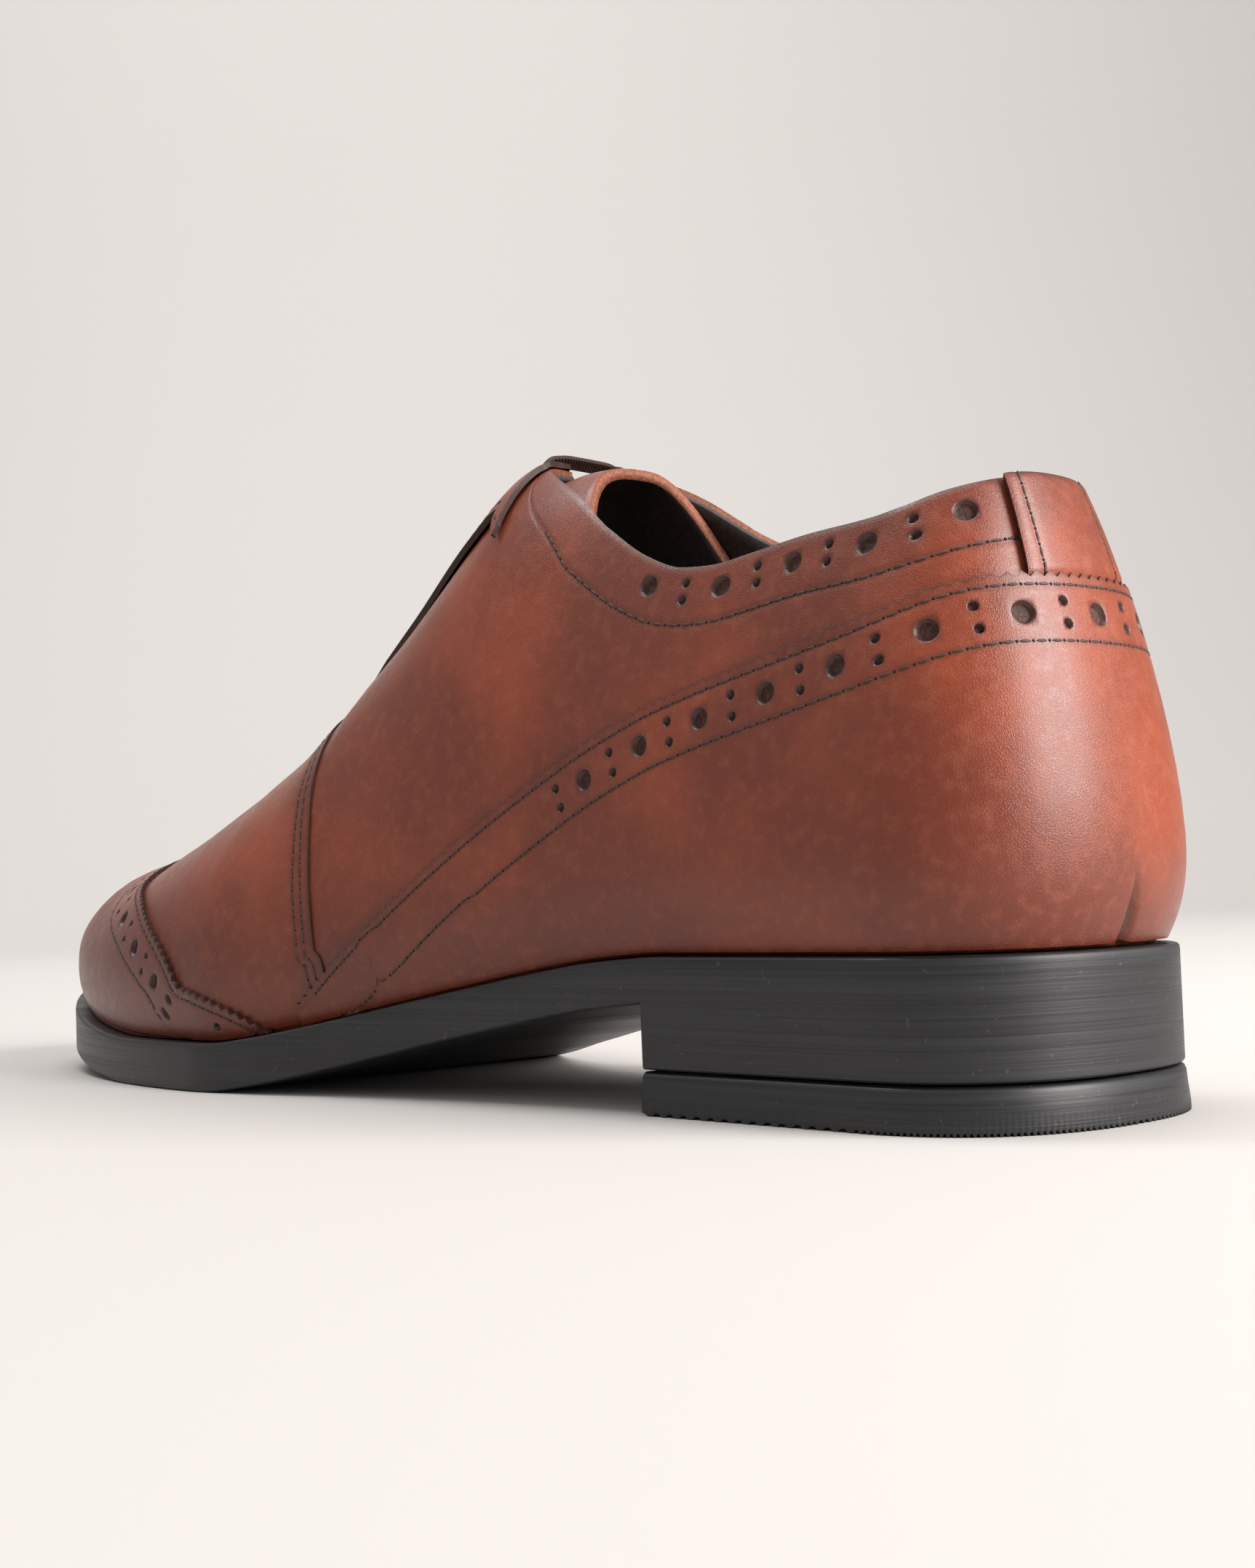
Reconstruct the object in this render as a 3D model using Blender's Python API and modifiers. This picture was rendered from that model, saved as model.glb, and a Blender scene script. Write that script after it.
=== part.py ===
"""A left brogue shoe, laced over a closed throat, standing empty on its sole.

+X points to the toe, +Y to the shoe's outer (lateral) side and +Z up. The origin is on the
floor, in the middle of the heel's resting face. Every leather piece is laid on one surface,
the outside of the lasted upper, which the functions below work out from the shoe's sizes.
"""

import bisect
import functools
import math

import bmesh
import bpy
import numpy as np

# Sole, in metres
SHOE_LENGTH = 0.300  # heel back to toe tip
HEEL_WIDTH = 0.0627
HEEL_ARC = 0.0288  # length of the round back of the heel
HEEL_SQUARENESS = 2.37  # superellipse exponent of that round back
BALL_WIDTH = 0.100
TOE_TIP_OFFSET = -0.009  # the tip lies to the inner side
HEEL_LENGTH = 0.074  # heel back to the heel's front face
HEEL_HEIGHT = 0.0261  # floor to the sole's upper edge
HEEL_FLARE = 0.0007  # how far the heel widens on its way to the floor
TOP_LIFT = 0.0072  # height of the heel's lowest piece
SOLE_EDGE = 0.0096  # thickness of the sole under the forefoot
WAIST_EDGE = 0.0078  # thickness of the sole under the arch
TOE_SPRING = 0.011
CLEARANCE = 0.0003  # between pieces that meet
CAP_CLEARANCE = 0.0004  # under the wing cap, where the upper's facets turn most
TONGUE_CLEARANCE = 0.0014  # under the facings and the vamp
FACING_CLEARANCE = 0.0005  # under the facings, where the upper bends most

# Upper, in metres
BACK_HEIGHT = 0.0735  # sole edge to the topline at the heel's back
WALL = 0.0022  # leather and lining together
OVERLAY = 0.0011  # thickness of the leather laid over the quarters and the vamp
THROAT_SHARE = 0.600  # where the lacing ends, as a share of the length
FACING_TOP_SHARE = 0.400
FACING_GAP = 0.0090  # between the two facings at their top
FACING_WIDTH = 0.0215
FACING_LEAD = 0.003  # share of the length by which a facing starts behind its top corner
STRIP_WIDTH = 0.0200  # strip down the heel's back, at the topline
STRIP_FOOT_WIDTH = 0.0250
STRIP_END_GAP = 0.00045  # between the strip's lower end and the counter
EYELETS = 5
EYELET_PITCH = 0.0111
EYELET_INSET = 0.0065  # from the facing's edge to the eyelets
FIRST_EYELET_SHARE = 0.420
LACE_THICKNESS = 0.0016
INSOLE_THICKNESS = 0.0030
INSOLE_LIFT = 0.0009  # over the sole, which bends a little more than the insole
TONGUE_THICKNESS = 0.0020
TONGUE_TOP_SHARE = 0.352
TONGUE_FOOT_SHARE = 0.645  # where the tongue ends under the vamp
TONGUE_FOOT_LEVEL = 1.49  # how far down its section the tongue reaches on each side
TONGUE_LEAN = 1.6  # columns by which the tongue's upper corners are rounded off
TONGUE_LEAN_POWER = 6
THROAT_SPREAD = 1.3  # the throat's gap above the facings, against the gap at their top
INSOLE_WALLS = 1.35  # walls of the upper between its outside and the insole's edge
BEVEL = 0.0005  # on the sole's upper edge

# The sole lies flat on the floor between these shares of the length
TREAD_START = 0.613
TREAD_END = 0.717

# Both sides share the columns of the sole's outline up to this station
COMMON_SHARE = 0.533
LATERAL_BALL_SHARE = 0.627
MEDIAL_BALL_SHARE = 0.700
POLE_SHARE = 0.850  # the toe box's ribs meet here

# Waist of the sole: station as a share of the length, half widths as shares of the ball width
WAIST = (
    # station, lateral, medial
    (0.096, 0.3135, 0.3135),
    (0.200, 0.3190, 0.3050),
    (0.300, 0.3260, 0.2760),
    (0.400, 0.3580, 0.2560),
    (0.500, 0.4230, 0.2920),
    (0.573, 0.4830, 0.3700),
    (0.627, 0.5100, 0.4480),
    (0.665, 0.5100, 0.4770),
    (0.700, 0.5100, 0.4900),
    (0.760, 0.5100, 0.4900),
)

# Underside of the sole in front of the heel: height as a share of the heel's height
UNDERSIDE = (
    # station, height
    (0.245, 0.701),
    (0.300, 0.640),
    (0.400, 0.440),
    (0.500, 0.205),
    (0.567, 0.060),
    (0.613, 0.000),
    (0.717, 0.000),
    (0.800, 0.062),
    (0.883, 0.182),
    (0.950, 0.312),
    (1.000, 0.4215),
)

# Sections of the upper. Heights stand over the sole's edge, as shares of the back height.
# Shift, overhang and inset are shares of the ball width: how far the ridge lies to the outer
# side, the section's widest point outside the sole's edge, and its foot inside that edge.
# Side and top are the two exponents.
SECTIONS = (
    # station, ridge, ridge_shift, widest, over_lateral, over_medial, inset, side, top
    (0.000, 1.223, 0.000, 0.211, 0.003, 0.003, 0.036, 2.05, 1.34),
    (0.096, 1.250, 0.000, 0.211, 0.003, 0.003, 0.036, 2.05, 1.36),
    (0.200, 1.270, -0.010, 0.205, 0.002, 0.005, 0.036, 2.20, 1.45),
    (0.300, 1.282, -0.020, 0.205, 0.003, 0.020, 0.036, 2.55, 1.56),
    (0.377, 1.352, -0.030, 0.210, 0.006, 0.040, 0.037, 2.80, 1.64),
    (0.400, 1.355, -0.032, 0.210, 0.005, 0.042, 0.038, 2.80, 1.66),
    (0.433, 1.297, -0.035, 0.205, 0.002, 0.040, 0.040, 2.75, 1.70),
    (0.500, 1.120, -0.040, 0.190, -0.010, 0.020, 0.046, 2.55, 1.80),
    (0.583, 0.922, -0.040, 0.165, -0.020, -0.010, 0.052, 2.35, 1.95),
    (0.667, 0.767, -0.040, 0.150, -0.024, -0.022, 0.054, 2.25, 2.10),
    (0.750, 0.622, -0.045, 0.136, -0.024, -0.024, 0.052, 2.20, 2.30),
    (0.850, 0.470, -0.060, 0.122, -0.024, -0.024, 0.050, 2.20, 2.45),
    (1.000, 0.420, -0.080, 0.115, -0.024, -0.024, 0.050, 2.20, 2.50),
)

# Edges drawn on the upper: height over the sole's edge as a share of the back height
TOPLINE = (
    # station, lateral, medial
    (0.000, 0.990, 0.990),
    (0.020, 0.972, 0.974),
    (0.042, 0.955, 0.960),
    (0.072, 0.932, 0.940),
    (0.105, 0.918, 0.930),
    (0.140, 0.910, 0.925),
    (0.180, 0.890, 0.912),
    (0.207, 0.878, 0.902),
    (0.232, 0.885, 0.915),
    (0.262, 0.935, 0.972),
    (0.301, 1.040, 1.073),
    (0.316, 1.090, 1.124),
    (0.341, 1.180, 1.210),
    (0.367, 1.258, 1.283),
    (0.393, 1.325, 1.340),
    (0.410, 1.360, 1.360),
)
COUNTER_EDGE = (
    (0.000, 0.770),
    (0.020, 0.762),
    (0.045, 0.742),
    (0.080, 0.706),
    (0.145, 0.652),
    (0.210, 0.597),
    (0.280, 0.520),
    (0.350, 0.425),
    (0.420, 0.310),
    (0.480, 0.190),
    (0.530, 0.070),
)
# Rear edge of the wing cap: how far down its section, from the ridge at 2 to the foot at 0
WING_EDGE = (
    # level, station
    (2.00, 0.735),
    (1.86, 0.775),
    (1.70, 0.805),
    (1.50, 0.790),
    (1.30, 0.745),
    (1.05, 0.685),
    (0.60, 0.615),
    (0.00, 0.560),
)

BREAST_STEP = 0.0004  # run of the heel's front face
HEEL_COLUMNS = 7
COMMON_COLUMNS = 19
BALL_COLUMNS = 5
TOE_COLUMNS = 11
LAST_COLUMN = HEEL_COLUMNS + COMMON_COLUMNS + BALL_COLUMNS + TOE_COLUMNS
FOOT_ROWS = 3  # below the section's widest point
WALL_ROWS = 8  # above it
COUNTER_ROWS = 10
WING_ROWS = 12
FACING_ROWS = 5
FACING_COLUMNS = 14
TONGUE_ROWS = 12
TONGUE_COLUMNS = 6
POLE_SLOPE = -0.24
BULGE_POWER = 2.4
SOFTENING = 0.12  # rounds the section's exponent where it leaves the widest point
OVERLAY_FOOT = 0.07  # level where the counter and the wing cap begin, over the sole
LATERAL = 1
MEDIAL = -1

MATERIALS = {
    # name: colour, roughness
    "tan_leather": ((0.300, 0.095, 0.045), 0.42),
    "tongue_leather": ((0.260, 0.085, 0.042), 0.50),
    "lining_leather": ((0.045, 0.030, 0.028), 0.70),
    "sole_rubber": ((0.030, 0.031, 0.035), 0.50),
    "lace_cotton": ((0.060, 0.025, 0.015), 0.85),
}


@functools.lru_cache(maxsize=None)
def curve_through(rows, column):
    """Stations, values and slopes of the smooth curve through a table's column."""
    table = np.array(rows, float)
    x, y = table[:, 0], table[:, column]
    if x[0] > x[-1]:
        x, y = x[::-1], y[::-1]
    steps = np.diff(y) / np.diff(x)
    slopes = np.zeros(len(x))
    for i in range(1, len(x) - 1):
        if steps[i - 1] * steps[i] > 0:
            before, after = x[i] - x[i - 1], x[i + 1] - x[i]
            slopes[i] = (before + after) / (before / steps[i] + after / steps[i - 1])
    slopes[0], slopes[-1] = steps[0], steps[-1]
    return x.tolist(), y.tolist(), slopes.tolist()


def curve_value(rows, station, column):
    """Value of a table's column at a station, on a smooth curve through its rows."""
    x, y, slopes = curve_through(rows, column)
    at = min(max(float(station), x[0]), x[-1])
    i = min(max(bisect.bisect_left(x, at) - 1, 0), len(x) - 2)
    width = x[i + 1] - x[i]
    t = (at - x[i]) / width
    return (
        y[i] * (1 + 2 * t) * (1 - t) ** 2
        + slopes[i] * width * t * (1 - t) ** 2
        + y[i + 1] * t**2 * (3 - 2 * t)
        + slopes[i + 1] * width * t**2 * (t - 1)
    )


def ball_station(side):
    return (LATERAL_BALL_SHARE if side == LATERAL else MEDIAL_BALL_SHARE) * SHOE_LENGTH


def half_width(side, x):
    return BALL_WIDTH * curve_value(WAIST, x / SHOE_LENGTH, 1 if side == LATERAL else 2)


def outline_point(side, part, place):
    """Point of the sole's edge, with x from the heel's back."""
    common_end = COMMON_SHARE * SHOE_LENGTH
    ball = ball_station(side)
    if part == "heel":
        angle = place * math.pi / 2
        power = 2 / HEEL_SQUARENESS
        x = HEEL_ARC * (1 - math.cos(angle) ** power)
        return x, side * HEEL_WIDTH / 2 * math.sin(angle) ** power
    if part == "common":
        x = HEEL_ARC + place * (common_end - HEEL_ARC)
        return x, side * half_width(side, x)
    if part == "ball":
        x = common_end + place * (ball - common_end)
        return x, side * half_width(side, x)
    angle = place * math.pi / 2
    x = ball + (SHOE_LENGTH - ball) * math.sin(angle)
    reach = side * half_width(side, ball) - TOE_TIP_OFFSET
    return x, TOE_TIP_OFFSET + reach * math.cos(angle)


def place_on_side(position):
    """Part and place for a position along the columns, which may lie between two of them."""
    ends = (HEEL_COLUMNS, COMMON_COLUMNS, BALL_COLUMNS, TOE_COLUMNS)
    for part, count in zip(("heel", "common", "ball", "toe"), ends):
        if position <= count or part == "toe":
            return part, min(position / count, 1.0)
        position -= count


@functools.lru_cache(maxsize=None)
def outline_at(side, position):
    return np.array(outline_point(side, *place_on_side(position)))


@functools.lru_cache(maxsize=None)
def outward(side, position):
    """Unit normal of the sole's edge, pointing out of the shoe."""
    step = 0.02
    if position < step:
        return np.array((-1.0, 0.0))
    if position > LAST_COLUMN - step:
        return np.array((1.0, 0.0))
    along = outline_at(side, position + step) - outline_at(side, position - step)
    along /= np.linalg.norm(along)
    return side * np.array((-along[1], along[0]))


@functools.lru_cache(maxsize=None)
def mean_station(position):
    """Mean x of the two sides at a column, which the tables of sections read."""
    return (outline_at(LATERAL, position)[0] + outline_at(MEDIAL, position)[0]) / 2


def underside(x):
    """Height of the sole's underside over the floor, in front of the heel."""
    tip = UNDERSIDE[-1][1]
    height = curve_value(UNDERSIDE, x / SHOE_LENGTH, 1)
    if x > TREAD_END * SHOE_LENGTH:
        return height / tip * TOE_SPRING
    return height / UNDERSIDE[0][1] * (HEEL_HEIGHT - WAIST_EDGE)


def edge_height(x):
    """Height of the sole's upper edge over the floor."""
    run = (x - HEEL_LENGTH) / (TREAD_START * SHOE_LENGTH - HEEL_LENGTH)
    share = min(max(run, 0), 1)
    thickness = WAIST_EDGE + (SOLE_EDGE - WAIST_EDGE) * share
    if x <= HEEL_LENGTH:
        return HEEL_HEIGHT
    return min(HEEL_HEIGHT, underside(x) + thickness)


@functools.lru_cache(maxsize=None)
def section(position):
    """The measures of the upper's section at a column."""
    x = mean_station(position)
    share = x / SHOE_LENGTH
    names = ("ridge", "shift", "widest", "over_lateral", "over_medial", "inset", "side", "top")
    found = {n: curve_value(SECTIONS, share, i + 1) for i, n in enumerate(names)}
    apex_x = min(max(x, HEEL_ARC), POLE_SHARE * SHOE_LENGTH)
    apex_share = apex_x / SHOE_LENGTH
    found["apex"] = np.array((apex_x, BALL_WIDTH * curve_value(SECTIONS, apex_share, 2)))
    apex_edge = edge_height(apex_x)
    found["ridge_z"] = apex_edge + BACK_HEIGHT * curve_value(SECTIONS, apex_share, 1)
    return found


def surface_point(side, position, level):
    """Point on the outside of the upper.

    Level runs from the foot at 0, through the section's widest point at 1, to the ridge at 2.
    """
    s = section(position)
    edge = outline_at(side, position)
    out = outward(side, position)
    over = s["over_lateral"] if side == LATERAL else s["over_medial"]
    foot = edge - out * s["inset"] * BALL_WIDTH
    widest = edge + out * over * BALL_WIDTH
    foot_z = edge_height(edge[0]) + CLEARANCE
    widest_z = foot_z + BACK_HEIGHT * s["widest"]
    if level <= 1:
        rise = level
        plan = widest + (foot - widest) * (1 - rise) ** BULGE_POWER
        return np.array((*plan, foot_z + rise * (widest_z - foot_z)))
    rise = math.sin((level - 1) * math.pi / 2)
    soft = rise**2 / (rise + SOFTENING) ** (2 - s["top"]) * (1 + SOFTENING) ** (2 - s["top"])
    reach = max(1 - soft, 0.0) ** (1 / s["side"])
    plan = s["apex"] + (widest - s["apex"]) * reach
    beyond_pole = max(0.0, plan[0] - POLE_SHARE * SHOE_LENGTH)
    height = widest_z + rise * (s["ridge_z"] - widest_z) + POLE_SLOPE * beyond_pole * rise
    return np.array((*plan, height))


def surface_normal(side, position, level):
    """Unit normal of the upper's outside, pointing out."""
    step = 0.01
    here = surface_point(side, position, level)
    along = surface_point(side, position + step, level) - here
    up = surface_point(side, position, level + (step if level < 1.9 else -step)) - here
    normal = np.cross(up, along) * side * (1 if level < 1.9 else -1)
    return normal / np.linalg.norm(normal)


LEVELS = np.concatenate([np.linspace(0, 1, 12), np.linspace(1, 2, 61)[1:]])


def level_at_height(side, position, height):
    """Level at which a section reaches a height, at most the ridge's."""
    heights = [surface_point(side, position, v)[2] for v in LEVELS]
    return float(np.interp(height, heights, LEVELS))


def level_at_gap(side, position, gap):
    """Level at which a section comes within a distance of its ridge, in plan."""
    apex = section(position)["apex"]
    reach = [np.linalg.norm(surface_point(side, position, v)[:2] - apex) for v in LEVELS]
    rising = slice(12, None)
    return float(np.interp(-gap, -np.array(reach)[rising], LEVELS[rising]))


def line_height(rows, side, position):
    """Height of a line drawn on the upper, from its table."""
    x = outline_at(side, position)[0]
    column = 2 if side == MEDIAL and len(rows[0]) == 3 else 1
    share = curve_value(rows, x / SHOE_LENGTH, column)
    return edge_height(x) + BACK_HEIGHT * share


def throat_gap(position):
    """Half the gap between the facings."""
    x = mean_station(position) / SHOE_LENGTH
    share = (THROAT_SHARE - x) / (THROAT_SHARE - FACING_TOP_SHARE)
    return FACING_GAP / 2 * min(max(share, 0.0), THROAT_SPREAD)


@functools.lru_cache(maxsize=None)
def top_level(side, position):
    """Level at which the upper ends: the topline, then the facing, then the ridge."""
    if mean_station(position) >= THROAT_SHARE * SHOE_LENGTH:
        return 2.0
    at_topline = level_at_height(side, position, line_height(TOPLINE, side, position))
    return min(at_topline, level_at_gap(side, position, throat_gap(position)))


@functools.lru_cache(maxsize=None)
def counter_level(side, position):
    height = line_height(COUNTER_EDGE, side, position)
    return level_at_height(side, position, height)


@functools.lru_cache(maxsize=None)
def position_at_share(share):
    """Position along the columns whose mean station is a share of the length."""
    steps = np.linspace(0, LAST_COLUMN, 400)
    return float(np.interp(share * SHOE_LENGTH, [mean_station(p) for p in steps], steps))


@functools.lru_cache(maxsize=None)
def position_at_edge(side, x):
    """Position along the columns where the sole's edge is x from the heel's back."""
    steps = np.linspace(0, LAST_COLUMN, 400)
    return float(np.interp(x, [outline_at(side, p)[0] for p in steps], steps))


def clear_scene():
    for leftover in list(bpy.data.objects):
        bpy.data.objects.remove(leftover)


def material(name):
    found = bpy.data.materials.get(name)
    if found:
        return found
    colour, roughness = MATERIALS[name]
    made = bpy.data.materials.new(name)
    made.use_nodes = True
    shader = made.node_tree.nodes["Principled BSDF"]
    shader.inputs["Base Color"].default_value = (*colour, 1.0)
    shader.inputs["Roughness"].default_value = roughness
    return made


def add_object(name, mesh, finish, parent):
    made = bpy.data.objects.new(name, mesh)
    made.data.materials.append(material(finish))
    bpy.data.collections["brogue_shoe"].objects.link(made)
    made.parent = parent
    return made


def sheet_from_grid(name, rows):
    """Open surface through a grid of points, with coinciding points joined."""
    points = np.array(rows, float)
    high, wide = points.shape[:2]
    work = bmesh.new()
    grid = [[work.verts.new(points[i, j]) for j in range(wide)] for i in range(high)]
    for i in range(high - 1):
        for j in range(wide - 1):
            work.faces.new((grid[i][j], grid[i][j + 1], grid[i + 1][j + 1], grid[i + 1][j]))
    bmesh.ops.remove_doubles(work, verts=work.verts, dist=1e-6)
    bmesh.ops.dissolve_degenerate(work, edges=work.edges, dist=1e-6)
    mesh = bpy.data.meshes.new(name)
    work.to_mesh(mesh)
    work.free()
    return mesh


def join_sheets(name, sheets):
    """Joins open surfaces that share edges, with their faces turned to the outside."""
    work = bmesh.new()
    for sheet in sheets:
        work.from_mesh(sheet)
        bpy.data.meshes.remove(sheet)
    bmesh.ops.remove_doubles(work, verts=work.verts, dist=1e-5)
    bmesh.ops.recalc_face_normals(work, faces=work.faces)
    highest = max(work.faces, key=lambda f: f.calc_center_median().z)
    if highest.normal.z < 0:
        bmesh.ops.reverse_faces(work, faces=work.faces)
    mesh = bpy.data.meshes.new(name)
    work.to_mesh(mesh)
    work.free()
    return mesh


def thicken(obj, thickness, start):
    """Gives a surface its thickness outwards, from a distance off it."""
    wall = obj.modifiers.new("wall", "SOLIDIFY")
    wall.thickness = thickness
    wall.offset = 1 + 2 * start / thickness
    wall.use_even_offset = True
    wall.use_quality_normals = True


def shade(obj):
    obj.data.shade_smooth()
    obj.data.set_sharp_from_angle(angle=math.radians(40))


def upper_rows(side, position):
    """Levels of the upper's rows: some to the widest point, then on to its top."""
    foot = list(np.linspace(0, 1, FOOT_ROWS + 1))
    top = top_level(side, position)
    return foot + list(np.linspace(1, top, WALL_ROWS + 1))[1:]


def upper_columns():
    """Columns of the upper, with one where the throat ends."""
    throat = position_at_share(THROAT_SHARE)
    return sorted([p for p in range(LAST_COLUMN + 1) if abs(p - throat) > 0.3] + [throat])


def laid_on(side, positions, low, high):
    """Grid on the upper's own rows, ended at a low and a high level at each column."""
    return [
        [
            surface_point(side, p, min(max(v, low(side, p)), high(side, p)))
            for v in upper_rows(side, p)
        ]
        for p in positions
    ]


def even_rib(side, position, low, high, rows):
    """Points between two levels of a section, at even distances."""
    steps = np.linspace(low, high, 60)
    line = np.array([surface_point(side, position, v) for v in steps])
    runs = np.concatenate([[0], np.cumsum(np.linalg.norm(np.diff(line, axis=0), axis=1))])
    levels = np.interp(np.linspace(0, runs[-1], rows + 1), runs, steps)
    return [surface_point(side, position, v) for v in levels]


def make_upper(parent):
    """Quarters and vamp: one shell, open at the collar, at the throat and underneath."""
    sheets = []
    for side in (LATERAL, MEDIAL):
        grid = laid_on(side, upper_columns(), lambda s, p: 0.0, top_level)
        sheets.append(sheet_from_grid("upper", grid))
    upper = add_object("upper", join_sheets("upper", sheets), "tan_leather", parent)
    thicken(upper, WALL, -WALL)
    shade(upper)


def make_counter(parent):
    """Heel counter: laid round the back of the quarters, down to the sole."""
    sheets = []
    for side in (LATERAL, MEDIAL):
        end = position_at_edge(side, COUNTER_EDGE[-1][0] * SHOE_LENGTH)
        positions = [p for p in upper_columns() if p < end] + [end]
        grid = [
            even_rib(side, p, OVERLAY_FOOT, counter_level(side, p), COUNTER_ROWS)
            for p in positions
        ]
        sheets.append(sheet_from_grid("counter", grid))
    counter = add_object("heel_counter", join_sheets("counter", sheets), "tan_leather", parent)
    thicken(counter, OVERLAY, CLEARANCE)
    shade(counter)


def strip_point(across, down):
    """Point on the heel's back.

    Across is a distance from the centre. Down runs from the topline at 0 to the counter's
    edge at 1, from which the strip keeps its clearance.
    """
    side = LATERAL if across >= 0 else MEDIAL
    steps = np.linspace(0, HEEL_COLUMNS - 1, 61)
    clear = STRIP_END_GAP / (BACK_HEIGHT * (1 - COUNTER_EDGE[0][1]))
    levels = []
    for step in steps:
        top = top_level(side, step)
        foot = counter_level(side, step)
        levels.append(top + (foot - top) * min(down, 1 - clear))
    line = np.array([surface_point(side, p, v) for p, v in zip(steps, levels)])
    runs = np.concatenate([[0], np.cumsum(np.linalg.norm(np.diff(line, axis=0), axis=1))])
    return np.array([np.interp(abs(across), runs, line[:, i]) for i in range(3)])


def make_back_strip(parent):
    """Strip over the back seam, from the topline to the counter."""
    rows = []
    for down in np.linspace(0, 1, 5):
        half = (STRIP_WIDTH + (STRIP_FOOT_WIDTH - STRIP_WIDTH) * down) / 2
        rows.append([strip_point(a * half, down) for a in np.linspace(-1, 1, 9)])
    mesh = join_sheets("strip", [sheet_from_grid("strip", rows)])
    strip = add_object("back_strip", mesh, "tan_leather", parent)
    if strip.data.polygons[0].normal.x > 0:
        strip.data.flip_normals()
    thicken(strip, OVERLAY, CLEARANCE)
    shade(strip)


def make_wing_cap(parent):
    """Wing cap: covers the toe, with a peak on the vamp and two wings along the sides."""
    sheets = []
    for side in (LATERAL, MEDIAL):
        rows = []
        foot = list(np.linspace(OVERLAY_FOOT, 1, FOOT_ROWS + 1))
        for level in foot + list(np.linspace(1, 2, WING_ROWS + 1))[1:]:
            start = position_at_share(curve_value(WING_EDGE, level, 1))
            rows.append([surface_point(side, max(p, start), level) for p in upper_columns()])
        sheets.append(sheet_from_grid("wing", rows))
    cap = add_object("wing_cap", join_sheets("wing", sheets), "tan_leather", parent)
    thicken(cap, OVERLAY, CAP_CLEARANCE)
    shade(cap)


def facing_foot(side, position):
    """Level of the facing's outer edge: its width from the throat, along the section."""
    return level_below(side, position, top_level(side, position), FACING_WIDTH)


def level_below(side, position, level, distance):
    """Level that lies a distance down the section from another level."""
    steps = np.linspace(level, 0, 80)
    line = np.array([surface_point(side, position, v) for v in steps])
    runs = np.concatenate([[0], np.cumsum(np.linalg.norm(np.diff(line, axis=0), axis=1))])
    return float(np.interp(distance, runs, steps))


def make_facings(parent):
    """Facings: the strips that hold the eyelets, one on each side of the throat."""
    start = position_at_share(FACING_TOP_SHARE - FACING_LEAD)
    end = position_at_share(THROAT_SHARE - CLEARANCE / SHOE_LENGTH)
    for side, name in ((LATERAL, "facing_lateral"), (MEDIAL, "facing_medial")):
        grid = []
        for p in np.linspace(start, end, FACING_COLUMNS + 1):
            top = top_level(side, p)
            grid.append(even_rib(side, p, facing_foot(side, p), top, FACING_ROWS))
        mesh = join_sheets(name, [sheet_from_grid(name, grid)])
        facing = add_object(name, mesh, "tan_leather", parent)
        thicken(facing, OVERLAY, FACING_CLEARANCE)
        shade(facing)


def make_tongue(parent):
    """Tongue: lies under the facings, from below the throat to above their top."""
    start = position_at_share(TONGUE_TOP_SHARE)
    end = position_at_share(TONGUE_FOOT_SHARE)
    sheets = []
    for side in (LATERAL, MEDIAL):
        rows = []
        for along in np.linspace(0, 1, TONGUE_ROWS + 1):
            corner = TONGUE_LEAN * (1 - along) ** TONGUE_LEAN_POWER
            row = []
            for across in np.linspace(0, 1, TONGUE_COLUMNS + 1):
                position = start + (end - start) * along - corner * across**2
                level = 2 + (TONGUE_FOOT_LEVEL - 2) * across
                row.append(surface_point(side, position, level))
            rows.append(row)
        sheets.append(sheet_from_grid("tongue", rows))
    tongue = add_object("tongue", join_sheets("tongue", sheets), "tongue_leather", parent)
    thicken(tongue, TONGUE_THICKNESS, -(WALL + TONGUE_CLEARANCE + TONGUE_THICKNESS))
    shade(tongue)


def plate_from_rings(name, rings):
    """Closed solid through rings round the sole's outline, capped across the shoe."""
    work = bmesh.new()
    made = [[work.verts.new(p) for p in ring] for ring in rings]
    count = len(rings[0])
    for low, high in zip(made, made[1:]):
        for i in range(count):
            j = (i + 1) % count
            work.faces.new((low[i], low[j], high[j], high[i]))
    for ring, turned in ((made[0], True), (made[-1], False)):
        for i in range(count // 2):
            a, b = ring[i], ring[(i + 1) % count]
            c, d = ring[(count - i - 1) % count], ring[(count - i) % count]
            corners = [v for n, v in enumerate((a, b, c, d)) if v not in (a, b, c, d)[:n]]
            if len(corners) > 2:
                work.faces.new(corners[::-1] if turned else corners)
    bmesh.ops.remove_doubles(work, verts=work.verts, dist=1e-6)
    bmesh.ops.recalc_face_normals(work, faces=work.faces)
    mesh = bpy.data.meshes.new(name)
    work.to_mesh(mesh)
    work.free()
    return mesh


def ring_positions(end, extra=()):
    """Columns round the outline, from the heel's back along the lateral side to the
    last column, and back along the medial side."""
    one_way = sorted(set(range(int(end))) | set(extra) | {end})
    return [(LATERAL, p) for p in one_way] + [(MEDIAL, p) for p in one_way[::-1][1:-1]]


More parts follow.
